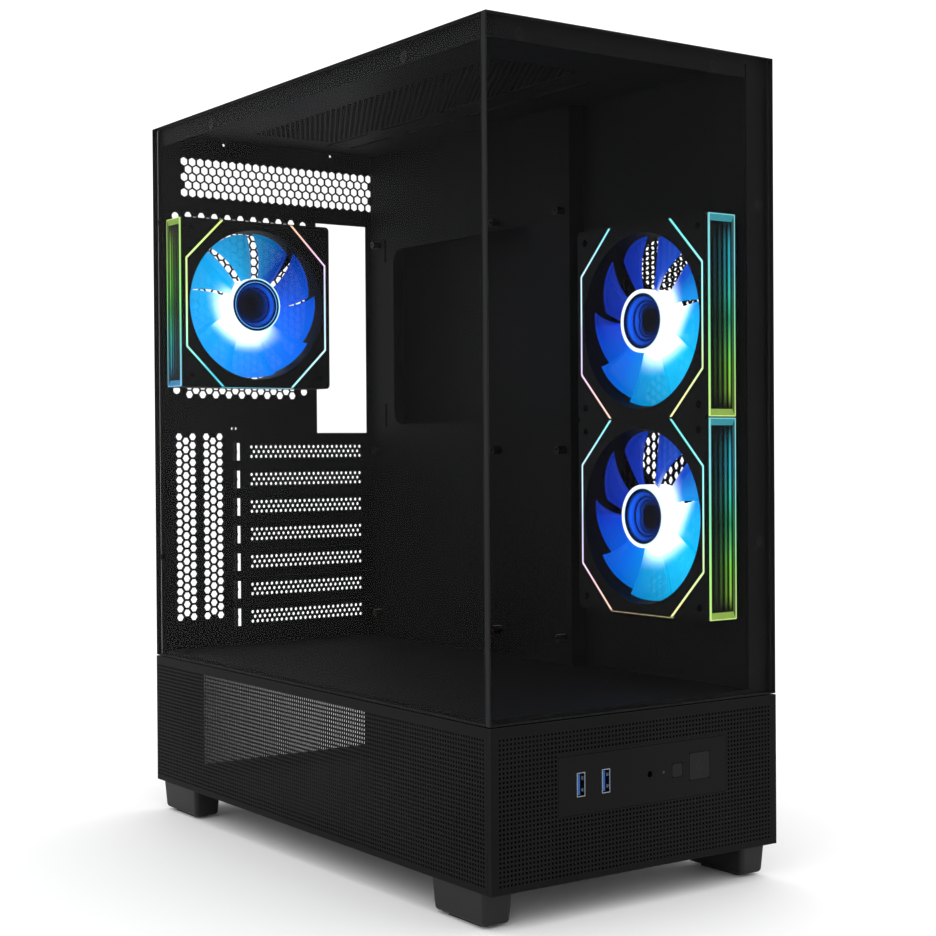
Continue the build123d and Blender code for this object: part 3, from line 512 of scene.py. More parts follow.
def border_of(name, low, high, width):
    """A flat rectangular border with a window, as one closed mesh."""
    shape = bmesh.new()
    inner_low, inner_high = low + Vector((width, width, 0)), high - Vector((width, width, 0))
    rings = []
    for a, b in ((low, high), (inner_low, inner_high)):
        for z in (low.z, high.z):
            outline = ((a.x, a.y), (b.x, a.y), (b.x, b.y), (a.x, b.y))
            rings.append([shape.verts.new((x, y, z)) for x, y in outline])
    outer_low, outer_high, in_low, in_high = rings
    for i in range(4):
        k = (i + 1) % 4
        shape.faces.new((outer_low[i], outer_low[k], outer_high[k], outer_high[i]))
        shape.faces.new((in_low[k], in_low[i], in_high[i], in_high[k]))
        shape.faces.new((outer_high[i], outer_high[k], in_high[k], in_high[i]))
        shape.faces.new((outer_low[k], outer_low[i], in_low[i], in_low[k]))
    bmesh.ops.bevel(shape, geom=shape.edges, offset=0.3 * MM, segments=1, affect="EDGES")
    return shown(name, mesh_of(name, shape))


THREAD, THREAD_PITCH = 0.28 * MM, 1.4 * MM
for node, body, width in (("top_filter", "top_dust_filter", 7 * MM),
                          ("psu_filter", "psu_dust_filter", 6 * MM)):
    low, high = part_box(node)
    screen = border_of(node + "_screen", low, high, width)
    window = high - low - Vector((2 * width, 2 * width, 0))
    modifier(screen, WEAVE, {"Size": (window.x, window.y, 0), "Middle": tuple((low + high) / 2),
                             "Pitch": THREAD_PITCH, "Thread": THREAD, "Finish": filter_nylon})
    baked(screen)
    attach(screen, body)
    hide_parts(node)

# ---------------------------------------------------------------- screws
# Fan screws and slot screws have pan heads with a cross recess; the two thumbscrews have knurled heads for
# the fingers. All are steel in black zinc, cold headed with rolled threads.


def turn_of_each(tree, count):
    """The turn of each of so many things set evenly round an axis."""
    index = add(tree, "GeometryNodeInputIndex").outputs[0]
    return sums(tree, "DIVIDE", sums(tree, "MULTIPLY", index, 2 * math.pi), count)


def screw_tree():
    """Geometry nodes that set a screw on every vertex: shank, rounded head with a cross recess, and knurl."""
    tree, given = start_tree(
        "screws", "Spots", Int=("Ribs",), Vector=("Turn",),
        Float=("Head Radius", "Head Height", "Crown", "Shank Radius", "Shank Length", "Recess", "Rib Size"))

    def standing(mesh, middle):
        return moved(tree, mesh, combined(tree, {2: middle}))

    body = sums(tree, "SUBTRACT", given["Head Height"], given["Crown"])
    disc = add(tree, "GeometryNodeMeshCylinder", {"Vertices": 24, "Radius": given["Head Radius"],
                                                  "Depth": body})
    top = add(tree, "GeometryNodeMeshCone", {"Vertices": 24, "Radius Bottom": given["Head Radius"],
                                             "Radius Top": sums(tree, "MULTIPLY", given["Head Radius"], 0.72),
                                             "Depth": given["Crown"]})
    shank = add(tree, "GeometryNodeMeshCylinder", {"Vertices": 12, "Radius": given["Shank Radius"],
                                                   "Depth": given["Shank Length"]})
    low = sums(tree, "MULTIPLY", given["Shank Length"], -0.5)
    solids = add(tree, "GeometryNodeMeshBoolean", operation="UNION", solver="MANIFOLD")
    for solid, middle in ((disc, sums(tree, "MULTIPLY", body, 0.5)), (top, body), (shank, low)):
        tree.links.new(standing(solid.outputs["Mesh"], middle), solids.inputs["Mesh 2"])
    arms = []
    for axis in (0, 1):
        size = combined(tree, {axis: sums(tree, "MULTIPLY", given["Recess"], 2.0), 2: given["Head Height"],
                               1 - axis: sums(tree, "MULTIPLY", given["Recess"], 0.45)})
        arm = add(tree, "GeometryNodeMeshCube", {"Size": size}).outputs["Mesh"]
        arms.append(standing(arm, given["Head Height"]))
    headed = add(tree, "GeometryNodeMeshBoolean", {"Mesh 1": solids.outputs[0]}, operation="DIFFERENCE",
                 solver="MANIFOLD")
    for arm in arms:
        tree.links.new(arm, headed.inputs["Mesh 2"])
    angle = turn_of_each(tree, given["Ribs"])
    rim = combined(tree, {0: sums(tree, "MULTIPLY", sums(tree, "COSINE", angle), given["Head Radius"]),
                          1: sums(tree, "MULTIPLY", sums(tree, "SINE", angle), given["Head Radius"]),
                          2: sums(tree, "MULTIPLY", body, 0.5)})
    places = add(tree, "GeometryNodePoints", {"Count": given["Ribs"], "Position": rim}).outputs[0]
    rib = add(tree, "GeometryNodeMeshCylinder", {"Vertices": 6, "Radius": given["Rib Size"],
                                                 "Depth": sums(tree, "MULTIPLY", body, 0.84)}).outputs["Mesh"]
    ribs = set_out(tree, places, rib)
    one = add(tree, "GeometryNodeJoinGeometry")
    tree.links.new(headed.outputs[0], one.inputs[0])
    tree.links.new(ribs, one.inputs[0])
    spots = add(tree, "GeometryNodeMeshToPoints", {0: given["Spots"]}).outputs[0]
    return end_tree(tree, given, set_out(tree, spots, one.outputs[0], given["Turn"]))


SCREW = screw_tree()
black_zinc = metal("black zinc", (0.012, 0.012, 0.013), (0.035, 0.035, 0.038), 0.38, 1800)
HEAD_TO_REAR = (math.radians(-90), 0, 0)
HEAD_TO_RIGHT = (0, math.radians(90), 0)
HEAD_TO_LEFT = (0, math.radians(-90), 0)
FAN_SCREW = {"Head Radius": 3.8 * MM, "Head Height": 2.1 * MM, "Crown": 0.9 * MM, "Shank Radius": 1.8 * MM,
             "Shank Length": 6.6 * MM, "Recess": 1.9 * MM, "Ribs": 0, "Rib Size": 0.1 * MM}
SLOT_SCREW = {**FAN_SCREW, "Head Radius": 2.95 * MM, "Shank Radius": 1.45 * MM, "Shank Length": 3.8 * MM,
              "Recess": 1.5 * MM}
THUMBSCREW = {**FAN_SCREW, "Head Radius": 4.65 * MM, "Head Height": 4.55 * MM, "Crown": 0.7 * MM,
              "Shank Radius": 1.65 * MM, "Shank Length": 5.9 * MM, "Ribs": 30, "Rib Size": 0.33 * MM}


def screws(name, spots, size, turn):
    """One object with a screw at each spot, the underside of its head there, its head pointing as turned."""
    mesh = bpy.data.meshes.new(name)
    mesh.from_pydata([tuple(spot) for spot in spots], [], [])
    piece = shown(name, mesh)
    modifier(piece, SCREW, {**size, "Turn": turn, "Finish": black_zinc})
    return baked(piece)


def joined(name, parts):
    """Several new meshes as one object."""
    shape = bmesh.new()
    materials = []
    for part in parts:
        start = len(shape.faces)
        shape.from_mesh(part.data)
        shape.faces.ensure_lookup_table()
        for face in shape.faces[start:]:
            material = part.data.materials[face.material_index]
            if material not in materials:
                materials.append(material)
            face.material_index = materials.index(material)
        bpy.data.objects.remove(part)
    mesh = bpy.data.meshes.new(name)
    for material in materials:
        mesh.materials.append(material)
    shape.to_mesh(mesh)
    shape.free()
    return shown(name, mesh)


SCREW_OFFSET = 52.5 * MM
SHEET = 1.0 * MM
corners = [(a * SCREW_OFFSET, b * SCREW_OFFSET) for a in (-1, 1) for b in (-1, 1)]
rear = fan_centre("rear_fan")
behind_rear = [(rear.x + a, rear.y + SHEET, rear.z + b) for a, b in corners]
behind_side = [(fan_centre(fan).x + SHEET, fan_centre(fan).y + a, fan_centre(fan).z + b)
               for fan in side_fans for a, b in corners]
fan_screws = joined("fan_screw_set", [screws("rear", behind_rear, FAN_SCREW, HEAD_TO_REAR),
                                      screws("side", behind_side, FAN_SCREW, HEAD_TO_RIGHT)])

low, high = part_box("slot_screws")
slot_spots = []
for number in range(1, 8):
    cover_low, cover_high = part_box(f"slot_cover_{number}")
    slot_spots.append((-45.0 * MM, (low.y + high.y) / 2, (cover_low.z + cover_high.z) / 2))
slot_screws = screws("slot_screw_set", slot_spots, SLOT_SCREW, HEAD_TO_LEFT)

low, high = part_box("thumbscrews")
thumb_x = (low.x + high.x) / 2
thumb_spots = [(thumb_x, high.y - 4.6 * MM, z) for z in (low.z + 5 * MM, high.z - 5 * MM)]
thumbscrews = screws("thumbscrew_pair", thumb_spots, THUMBSCREW, HEAD_TO_REAR)
for piece, body, node in ((fan_screws, "chassis", "fan_screws"), (slot_screws, "chassis", "slot_screws"),
                          (thumbscrews, "steel_side", "thumbscrews")):
    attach(piece, body)
    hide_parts(node)

# ---------------------------------------------------------------- motherboard standoffs
# Nine standoffs turned from hexagonal brass bar and blackened, tapped for the board's screws. Each is pressed
# into its own hole in the tray.
brass = metal("blackened brass", (0.012, 0.010, 0.007), (0.035, 0.028, 0.017), 0.34, 2400, (1, 6, 6))
wear(brass, "standoffs")

# ---------------------------------------------------------------- front connectors
# A moulded plate in the lower band holds two USB sockets, a headset jack, a status light, and the reset and
# power keys. Behind it a small black circuit board carries the sockets and the two push switches.
plate_plastic = coated("connector plate plastic", (0.0025, 0.0025, 0.0026), (0.004, 0.004, 0.0042),
                       0.45, 2600, 0.3, 0.07)
key_plastic = coated("key plastic", (0.004, 0.004, 0.0042), (0.006, 0.006, 0.0063), 0.36, 2600, 0.25, 0.11)
wear(plate_plastic, "front_io_plate")
wear(key_plastic, "power_button", "reset_button")
solder_mask = coated("black solder mask", (0.006, 0.009, 0.008), (0.012, 0.018, 0.015), 0.3, 700, 0.4, 0.4)
wear(solder_mask, "front_io_board")
socket_black = coated("socket plastic", (0.002, 0.002, 0.002), (0.0035, 0.0035, 0.0035), 0.4, 2200, 0.2, 0.08)
wear(socket_black, "audio_jack", "push_switches")
nickel = metal("nickel plate", (0.17, 0.19, 0.21), (0.30, 0.32, 0.35), 0.22, 1600, (1, 0.2, 1))
wear(nickel, "usb_shells")
tongue_blue = coated("socket blue", (0.005, 0.065, 0.26), (0.008, 0.095, 0.36), 0.32, 2000, 0.2, 0.3)
wear(tongue_blue, "usb_tongues")
clear, tree, shader, place = finish("light pipe", 0.2, 0.2)
speck = noise(tree, place, 1200.0)
tone = ramp(tree, speck, [(0.3, (0.012, 0.013, 0.014)), (0.7, (0.024, 0.026, 0.028))])
surface(tree, shader, tone, None, speck, 0.1, 0.02 * MM)
wear(clear, "led_pipe")

plate_front = plate_low.y
shell_low, shell_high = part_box("usb_shells")
SOCKET_WIDTH = 5.8 * MM
for side, x in (("left", shell_low.x + SOCKET_WIDTH / 2), ("right", shell_high.x - SOCKET_WIDTH / 2)):
    middle = (shell_low.z + shell_high.z) / 2
    springs = []
    for dz in (-3.2, 3.2):
        spring = block("spring", (x + 1.5 * MM, plate_front + 1.2 * MM, middle + (dz - 1.0) * MM),
                       (x + 2.3 * MM, plate_front + 6.0 * MM, middle + (dz + 1.0) * MM), 0.3 * MM)
        spring.data.materials.append(nickel)
        springs.append(spring)
    contact = joined(f"usb_{side}_springs", springs)
    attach(contact, "chassis")

power_low, power_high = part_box("power_button")
key_middle = Vector((43.5 * MM, power_low.y, (power_low.z + power_high.z) / 2))
SIGN_R, SIGN_W, SIGN_T = 2.6 * MM, 0.45 * MM, 0.06 * MM
SIGN_PROUD = 0.02 * MM
ARC_STEPS = 24
sign = bmesh.new()
arc = [math.radians(125 + 290 * i / ARC_STEPS) for i in range(ARC_STEPS + 1)]
rows = []
for y in (key_middle.y - SIGN_PROUD, key_middle.y + SIGN_T):
    for r in (SIGN_R, SIGN_R - SIGN_W):
        rows.append([sign.verts.new((key_middle.x + r * math.cos(a), y, key_middle.z + r * math.sin(a)))
                     for a in arc])
outer, inner, outer_back, inner_back = rows
for i in range(ARC_STEPS):
    for a, b in ((outer, inner), (inner, inner_back), (inner_back, outer_back), (outer_back, outer)):
        sign.faces.new((a[i], a[i + 1], b[i + 1], b[i]))
for i in (0, ARC_STEPS):
    sign.faces.new((outer[i], inner[i], inner_back[i], outer_back[i]))
bmesh.ops.recalc_face_normals(sign, faces=sign.faces)
arc_piece = shown("power_sign_arc", mesh_of("power_sign_arc", sign))
stroke = block("stroke", (key_middle.x - SIGN_W / 2, key_middle.y - SIGN_PROUD, key_middle.z + 0.6 * MM),
               (key_middle.x + SIGN_W / 2, key_middle.y + SIGN_T, key_middle.z + 3.2 * MM), 0)
sign_grey = coated("printed key sign", (0.011, 0.011, 0.0115), (0.017, 0.017, 0.018), 0.5, 1500, 0.2, 0.1)
for part in (arc_piece, stroke):
    part.data.materials.append(sign_grey)
power_sign = joined("power_sign", [arc_piece, stroke])
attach(power_sign, "power_key")

# ---------------------------------------------------------------- fan frames, shafts and stators
# Three 120 mm fans. Each frame is moulded black in one piece with its duct and motor struts; the shaft is
# ground steel, and the stator copper wire wound on a core.
fan_plastic = coated("fan frame plastic", (0.0022, 0.0022, 0.0024), (0.0036, 0.0036, 0.004),
                     0.5, 2200, 0.3, 0.05)
copper = metal("wound copper", (0.40, 0.16, 0.07), (0.72, 0.36, 0.18), 0.3, 900, (1, 8, 8))
ground_shaft = metal("ground shaft steel", (0.45, 0.45, 0.47), (0.7, 0.7, 0.72), 0.15, 3000)
FANS = ("rear_fan", *side_fans)
for fan in FANS:
    wear(fan_plastic, fan + "_frame")
    wear(copper, fan + "_stator")
    wear(ground_shaft, fan + "_shaft")

# ---------------------------------------------------------------- lit rings and light bars of the fans
# Round each fan's face runs an octagonal light guide that shifts through pale colours, and one side carries a
# light bar: a dark mirror behind clear plastic, on which the lit border repeats as painted reflections, ever
# dimmer glowing lines.


def seat_of(fan):
    """A fan's own frame: origin on its mounting face, X to its light bar, Z to its open face."""
    axes = ((-1, 0, 0), (0, 0, -1), (0, -1, 0)) if fan == "rear_fan" else ((0, -1, 0), (0, 0, 1), (-1, 0, 0))
    turn = Matrix(axes).transposed().to_4x4()
    return Matrix.Translation(fan_centre(fan)) @ turn


def round_fan(tree, place, fan):
    """Where a point lies on a fan: sideways and up from its axis in metres, radius, and turn as a share.

    Seen from the open face, the share is 0 and 1 on the left, 0.25 below, 0.5 on the right, 0.75 above."""
    off = vectors(tree, "SUBTRACT", place, fan_centre(fan))
    split = add(tree, "ShaderNodeSeparateXYZ", {0: off}).outputs
    side = split["X"] if fan == "rear_fan" else sums(tree, "MULTIPLY", split["Y"], -1.0)
    up = split["Z"]
    flat = combined(tree, {0: side, 1: up})
    radius = add(tree, "ShaderNodeVectorMath", {0: flat}, operation="LENGTH").outputs["Value"]
    share = sums(tree, "MULTIPLY_ADD", sums(tree, "ARCTAN2", up, side), 0.5 / math.pi, 0.5)
    return side, up, radius, share


def scaled(tree, vector, by):
    """A vector or colour times a number or a value's socket."""
    return add(tree, "ShaderNodeVectorMath", {0: vector, "Scale": by}, operation="SCALE").outputs[0]


def lit(name, colour_of, fan, strength, uneven=0.12, body=(0.02, 0.02, 0.02), specular=0.1):
    """A material that glows a little unevenly in the colour that colour_of gives at each place on the fan."""
    material, tree, shader, place = finish(name, 0.3, specular)
    speck = noise(tree, place, 160.0)
    tone = ramp(tree, speck, [(0.3, body), (0.7, tuple(1.4 * c for c in body))])
    surface(tree, shader, tone, None, speck, 0.1, 0.05 * MM)
    level = spread(tree, speck, end=(1 - uneven, 1 + uneven))
    tree.links.new(scaled(tree, colour_of(tree, place, fan), level), shader.inputs["Emission Color"])
    shader.inputs["Emission Strength"].default_value = strength
    return material


RING_COLOURS = {
    "rear_fan": [(0.0, (0.62, 0.98, 0.42)), (0.06, (0.48, 0.98, 0.62)), (0.11, (0.20, 0.85, 0.80)),
                 (0.15, (0.05, 0.62, 0.80)), (0.24, (0.10, 0.70, 0.95)), (0.34, (0.45, 0.90, 0.98)),
                 (0.42, (0.62, 0.93, 1.0)), (0.5, (0.55, 0.78, 1.0)), (0.56, (0.70, 0.66, 1.0)),
                 (0.61, (0.92, 0.55, 0.72)), (0.68, (1.0, 0.55, 0.30)), (0.83, (0.72, 0.95, 0.22)),
                 (0.93, (0.70, 0.98, 0.32))],
    "side_fan": [(0.0, (0.62, 0.66, 1.0)), (0.07, (0.80, 0.66, 0.98)), (0.12, (1.0, 0.60, 0.62)),
                 (0.2, (1.0, 0.66, 0.42)), (0.35, (0.92, 0.96, 0.35)), (0.44, (0.62, 0.98, 0.40)),
                 (0.5, (0.35, 0.96, 0.72)), (0.57, (0.30, 0.90, 0.92)), (0.65, (0.15, 0.85, 0.80)),
                 (0.84, (0.25, 0.85, 0.95)), (0.93, (0.60, 0.85, 1.0))],
}
BAR_COLOURS = {
    "rear_fan": [(0.0, (0.02, 0.28, 0.60)), (0.3, (0.02, 0.50, 0.42)), (0.5, (0.06, 0.66, 0.06)),
                 (0.75, (0.20, 0.62, 0.03)), (1.0, (0.30, 0.50, 0.05))],
    "side_fan": [(0.0, (0.36, 0.56, 0.07)), (0.25, (0.20, 0.66, 0.05)), (0.48, (0.03, 0.55, 0.22)),
                 (0.75, (0.02, 0.45, 0.55)), (1.0, (0.02, 0.38, 0.46))],
}
DARK = (0.0, 0.0, 0.0)
BAR_HALF = 59.6 * MM
BAR_LOW, BAR_HIGH = 3.0 * MM, 23.8 * MM


def kind_of(fan):
    return fan if fan == "rear_fan" else "side_fan"


def ring_colour(tree, place, fan):
    """The ring's colour runs round the fan."""
    return ramp(tree, round_fan(tree, place, fan)[3], RING_COLOURS[kind_of(fan)])


def up_bar(tree, place, fan):
    """Share of a light bar's length at a point, 0 at its foot."""
    return spread(tree, round_fan(tree, place, fan)[1], (-BAR_HALF, BAR_HALF))


def bar_tint(tree, place, fan):
    """The bar's colour runs up the fan."""
    return ramp(tree, up_bar(tree, place, fan), BAR_COLOURS[kind_of(fan)])


def edge_tint(tree, place, fan):
    """The bar's colour at its bright outer border, paler than inside."""
    return vectors(tree, "ADD", bar_tint(tree, place, fan), (0.16, 0.2, 0.14))


def from_wall(tree, place, fan):
    """Share of a light bar's width at a point: 0 by the fan's mounting face, 1 at its open face."""
    split = add(tree, "ShaderNodeSeparateXYZ", {0: place}).outputs
    seat = fan_centre(fan)
    depth = sums(tree, "SUBTRACT", *((seat.y, split["Y"]) if fan == "rear_fan" else (seat.x, split["X"])))
    return spread(tree, depth, (BAR_LOW, BAR_HIGH))


def painted_mirror_reflections(tree, place, fan):
    """Painted reflections of the lit border in the bar's mirror, each dimmer and further in than the last."""
    core, halo = 0.02, 0.055
    stops = [(0.0, DARK)]
    for middle, level in ((0.19, 1.0), (0.36, 0.42), (0.55, 0.16), (0.74, 0.07)):
        stops += [(middle - halo, (0.03 * level,) * 3), (middle - core, (level,) * 3),
                  (middle + core, (level,) * 3), (middle + halo, (0.03 * level,) * 3)]
    lines = ramp(tree, from_wall(tree, place, fan), stops + [(1.0, DARK)])
    levels = ((0.05, 0.05), (0.12, 0.8), (0.3, 1.0), (0.48, 0.55), (0.6, 1.0), (0.85, 0.8), (0.95, 0.05))
    fade = ramp(tree, up_bar(tree, place, fan), [(share, (level,) * 3) for share, level in levels])
    return vectors(tree, "MULTIPLY", vectors(tree, "MULTIPLY", lines, bar_tint(tree, place, fan)), fade)


def bar_mesh(fan):
    """A light bar in its fan's own frame: a border that slopes in to a sunk mirror, closed behind."""
    face = 60.95 * MM
    shape = bmesh.new()
    loops = []
    for x, side, end in ((face - 0.95 * MM, 0, 0), (face, 0, 0), (face, 0.8 * MM, 0.6 * MM),
                         (face - 0.9 * MM, 1.9 * MM, 4.4 * MM)):
        low, high, half = BAR_LOW + side, BAR_HIGH - side, BAR_HALF - end
        loops.append([shape.verts.new(corner) for corner in ((x, -half, low), (x, half, low), (x, half, high),
                                                             (x, -half, high))])
    for outer, inner in zip(loops, loops[1:]):
        for i in range(4):
            k = (i + 1) % 4
            shape.faces.new((outer[i], outer[k], inner[k], inner[i]))
    shape.faces.new(loops[0][::-1])
    mirror = shape.faces.new(loops[-1])
    bmesh.ops.recalc_face_normals(shape, faces=shape.faces)
    mirror.material_index = 1
    for side in shape.faces:
        sloping = 0.05 < abs(side.normal.x) < 0.99
        if sloping:
            side.material_index = 2 if abs(side.normal.y) > 0.05 else 3
    shape.transform(seat_of(fan))
    return mesh_of(fan + "_bar", shape)


for fan in FANS:
    glow = lit(fan + " ring light", ring_colour, fan, 1.35, body=(0.05, 0.06, 0.06))
    wear(glow, fan + "_ring")
    sill = block(fan + "_edge_light", (-29 * MM, -60.25 * MM, 23.6 * MM), (29 * MM, -59.95 * MM, 24.9 * MM),
                 0.1 * MM, 1)
    if fan != "rear_fan":
        sill.data.transform(seat_of(fan))
    else:
        sill.data.transform(seat_of(fan) @ Matrix.Scale(-1, 4, (0, 1, 0)))
        sill.data.flip_normals()
    sill.data.materials.append(glow)
    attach(sill, "chassis")
    bar = shown(fan + "_light_bar_lit", bar_mesh(fan))
    # The bar mirror's material glows with painted reflections of the lit border.
    for light in (lit(fan + " bar border", edge_tint, fan, 1.3),
                  lit(fan + " bar mirror", painted_mirror_reflections, fan, 1.25, body=(0.002, 0.002, 0.0025),
                      specular=0.03),
                  lit(fan + " bar ends", bar_tint, fan, 0.75), lit(fan + " bar sides", bar_tint, fan, 0.16)):
        bar.data.materials.append(light)
    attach(bar, "chassis")
    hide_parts(fan + "_light_bar")

# ---------------------------------------------------------------- fan rotors
# Each rotor is moulded in translucent plastic over lights in the hub, and spins on the shaft. The hub's
# light on its blades is painted as glow, with a painted white flare. It has nine cambered blades, mirrored
# on the side fans, and a small dark mirror in the hub's face, in which lit circles repeat inwards as painted
# reflections.
HUB_R = 19.5 * MM


def lathe(shape, profile, steps):
    """Turns a closed outline of (radius, height) about Z."""
    rings = []
    for i in range(steps):
        a = 2 * math.pi * i / steps
        rings.append([shape.verts.new((r * math.cos(a), r * math.sin(a), z)) for r, z in profile])
    for ring, after in zip(rings, rings[1:] + rings[:1]):
        for j in range(len(profile)):
            k = (j + 1) % len(profile)
            shape.faces.new((ring[j], after[j], after[k], ring[k]))
    bmesh.ops.remove_doubles(shape, verts=shape.verts, dist=0.0005 * MM)
    bmesh.ops.recalc_face_normals(shape, faces=shape.faces)


def hub_mesh(fan):
    """The hub: a thin cup with a rounded rim, a lit groove in its face, and a shallow mirror inside that.

    Its outline is in millimetres: radius, and height over the fan's mounting face."""
    outline = [(0, 22.6), (16.0, 22.6), (16.3, 23.1), (17.0, 23.2), (17.3, 22.9), (18.6, 22.9), (18.9, 23.5),
               (19.25, 23.6), (19.5, 23.3), (19.5, 4.5), (19.4, 4.4), (18.0, 4.4), (17.9, 4.5), (17.9, 21.2),
               (17.1, 22.0), (0, 22.0)]
    shape = bmesh.new()
    lathe(shape, [(r * MM, z * MM) for r, z in outline], 72)
    bmesh.ops.dissolve_degenerate(shape, dist=0.0001 * MM, edges=shape.edges)
    for face in shape.faces:
        face.smooth = False
    shape.transform(seat_of(fan))
    return mesh_of(fan + "_hub", shape)


def blade_tree():
    """Geometry nodes that set a fan's blades evenly round its axis."""
    tree, given = start_tree("fan blades", "Blade", Int=("Blades",), Vector=("Seat", "Seat Turn"))
    angle = turn_of_each(tree, given["Blades"])
    points = add(tree, "GeometryNodePoints", {"Count": given["Blades"]}).outputs[0]
    ring = set_out(tree, points, given["Blade"], combined(tree, {2: angle}))
    whole = add(tree, "GeometryNodeRealizeInstances", {0: ring}).outputs[0]
    return end_tree(tree, given, moved(tree, whole, given["Seat"], given["Seat Turn"]))


BLADES = blade_tree()
BLADE_COUNT = 9
BLADE_TIP = 52.3 * MM
BLADE_ROOT = HUB_R - 0.6 * MM
BLADE_MIDDLE = 13 * MM
CHORD = (17.0 * MM, 38.0 * MM)
ANGLE = (math.radians(36), math.radians(14))
CAMBER, SWEEP, BLADE_T = 1.5 * MM, 9.0 * MM, 1.2 * MM


def blade_mesh(hand):
    """One blade in the fan's own frame: cambered, swept, thicker in the middle, twisting flatter to its tip.

    hand is 1, or -1 for the mirrored blade of a fan that blows towards its open face."""
    shape = bmesh.new()
    rows, spans, chords = [], 8, 8
    for i in range(spans + 1):
        along = i / spans
        radius = BLADE_ROOT + along * (BLADE_TIP - HUB_R + 0.6 * MM)
        chord = CHORD[0] + along * (CHORD[1] - CHORD[0])
        angle = ANGLE[0] + along * (ANGLE[1] - ANGLE[0])
        swept = SWEEP * along * along
        loop = []
        for side in (1, -1):
            steps = range(chords + 1) if side == 1 else range(chords - 1, 0, -1)
            for j in steps:
                across = j / chords - 0.5
                bulge = CAMBER * (1 - 4 * across * across)
                half = side * BLADE_T * 0.5 * math.sqrt(max(0.0, 1 - 4 * across * across * 0.92))
                u = across * chord
                x_across = u * math.cos(angle) - (bulge + half) * math.sin(angle) + swept
                z = BLADE_MIDDLE + u * math.sin(angle) + (bulge + half) * math.cos(angle)
                turn = x_across / radius
                loop.append(shape.verts.new((radius * math.cos(turn), hand * radius * math.sin(turn), z)))
        rows.append(loop)
    count = len(rows[0])
    for row, after in zip(rows, rows[1:]):
        for j in range(count):
            k = (j + 1) % count
            shape.faces.new((row[j], row[k], after[k], after[j]))
    shape.faces.new(rows[0])
    shape.faces.new(rows[-1][::-1])
    bmesh.ops.recalc_face_normals(shape, faces=shape.faces)
    for face in shape.faces:
        face.smooth = len(face.verts) == 4
    return mesh_of("blade", shape)


# Colours of the painted glow that the hub's light casts along the blades, by direction.
GLOW_COLOURS = {
    "rear_fan": [(0.0, (0.0, 0.40, 1.0)), (0.12, (0.0, 0.36, 1.0)), (0.25, (0.0, 0.23, 1.0)),
                 (0.38, (0.0, 0.15, 0.95)), (0.5, (0.0, 0.09, 0.75)), (0.64, (0.0, 0.03, 0.30)),
                 (0.76, (0.0, 0.22, 0.45)), (0.88, (0.0, 0.38, 0.85))],
    "side_fan": [(0.0, (0.002, 0.03, 0.50)), (0.14, (0.0, 0.12, 0.70)), (0.25, (0.0, 0.30, 0.62)),
                 (0.38, (0.0, 0.52, 0.95)), (0.5, (0.0, 0.42, 1.0)), (0.62, (0.003, 0.06, 0.50)),
                 (0.8, (0.004, 0.02, 0.30))],
}
# Where the painted white flare on the blades is brightest, and how far out from the hub it reaches.
FLARE_SIDE = {"rear_fan": (-0.6, -0.8), "side_fan": (0.94, -0.34)}
FLARE_REACH = {"rear_fan": 36 * MM, "side_fan": 35 * MM}
NEAR_AXIS = 0.1 * MM  # no direction is told closer to the axis than this
MIRROR_R = 16.0 * MM
# The hub mirror's circles are painted reflections: their spacing and shift to one side, then their levels.
PAINTED_REFLECTION_SPACING = {"rear_fan": (3.0, -1.4), "side_fan": (3.5, 3.0)}
PAINTED_REFLECTION_LEVELS = {"rear_fan": (0.8, 0.2, 0.06, 0.02), "side_fan": (1.0, 0.75, 0.5, 0.28)}
RIM = {
    "rear_fan": [(0.0, DARK), (0.835, (0.0, 0.0, 0.004)), (0.845, (0.08, 0.35, 0.9)),
                 (0.87, (0.08, 0.35, 0.9)), (0.88, (0.0, 0.001, 0.01)), (0.945, (0.0, 0.001, 0.02)),
                 (0.962, (0.35, 0.8, 1.0)), (0.99, (0.9, 1.0, 1.0)), (1.0, (1.0, 1.0, 1.0))],
    "side_fan": [(0.0, DARK), (0.8, (0.0, 0.0, 0.004)), (0.815, (0.0, 0.002, 0.03)),
                 (0.865, (0.0, 0.002, 0.03)), (0.885, (0.7, 0.92, 1.0)), (1.0, (1.0, 1.0, 1.0))],
}


def toward_lamp(tree, side, up, radius, fan):
    """Cosine of the turn between a point on a fan and the side that its lamp is brightest on."""
    across, above = FLARE_SIDE[kind_of(fan)]
    along = sums(tree, "MULTIPLY_ADD", side, across, sums(tree, "MULTIPLY", up, above))
    return sums(tree, "DIVIDE", along, sums(tree, "MAXIMUM", radius, NEAR_AXIS))


def painted_blade_glow(tree, place, fan):
    """Painted glow of hub light on the blades: coloured by direction, painted white where the lamp shines
    through.
    """
    side, up, radius, share = round_fan(tree, place, fan)
    cosine = toward_lamp(tree, side, up, radius, fan)
    near = spread(tree, radius, (FLARE_REACH[kind_of(fan)], HUB_R))
    flare = sums(tree, "MULTIPLY", sums(tree, "MULTIPLY", near, near), spread(tree, cosine))
    reach = spread(tree, radius, (HUB_R, BLADE_TIP), (1.0, 0.72))
    tinted = scaled(tree, ramp(tree, share, GLOW_COLOURS[kind_of(fan)]), reach)
    return vectors(tree, "ADD", tinted, scaled(tree, (0.8, 0.97, 1.0), sums(tree, "MULTIPLY", flare, 4.0)))


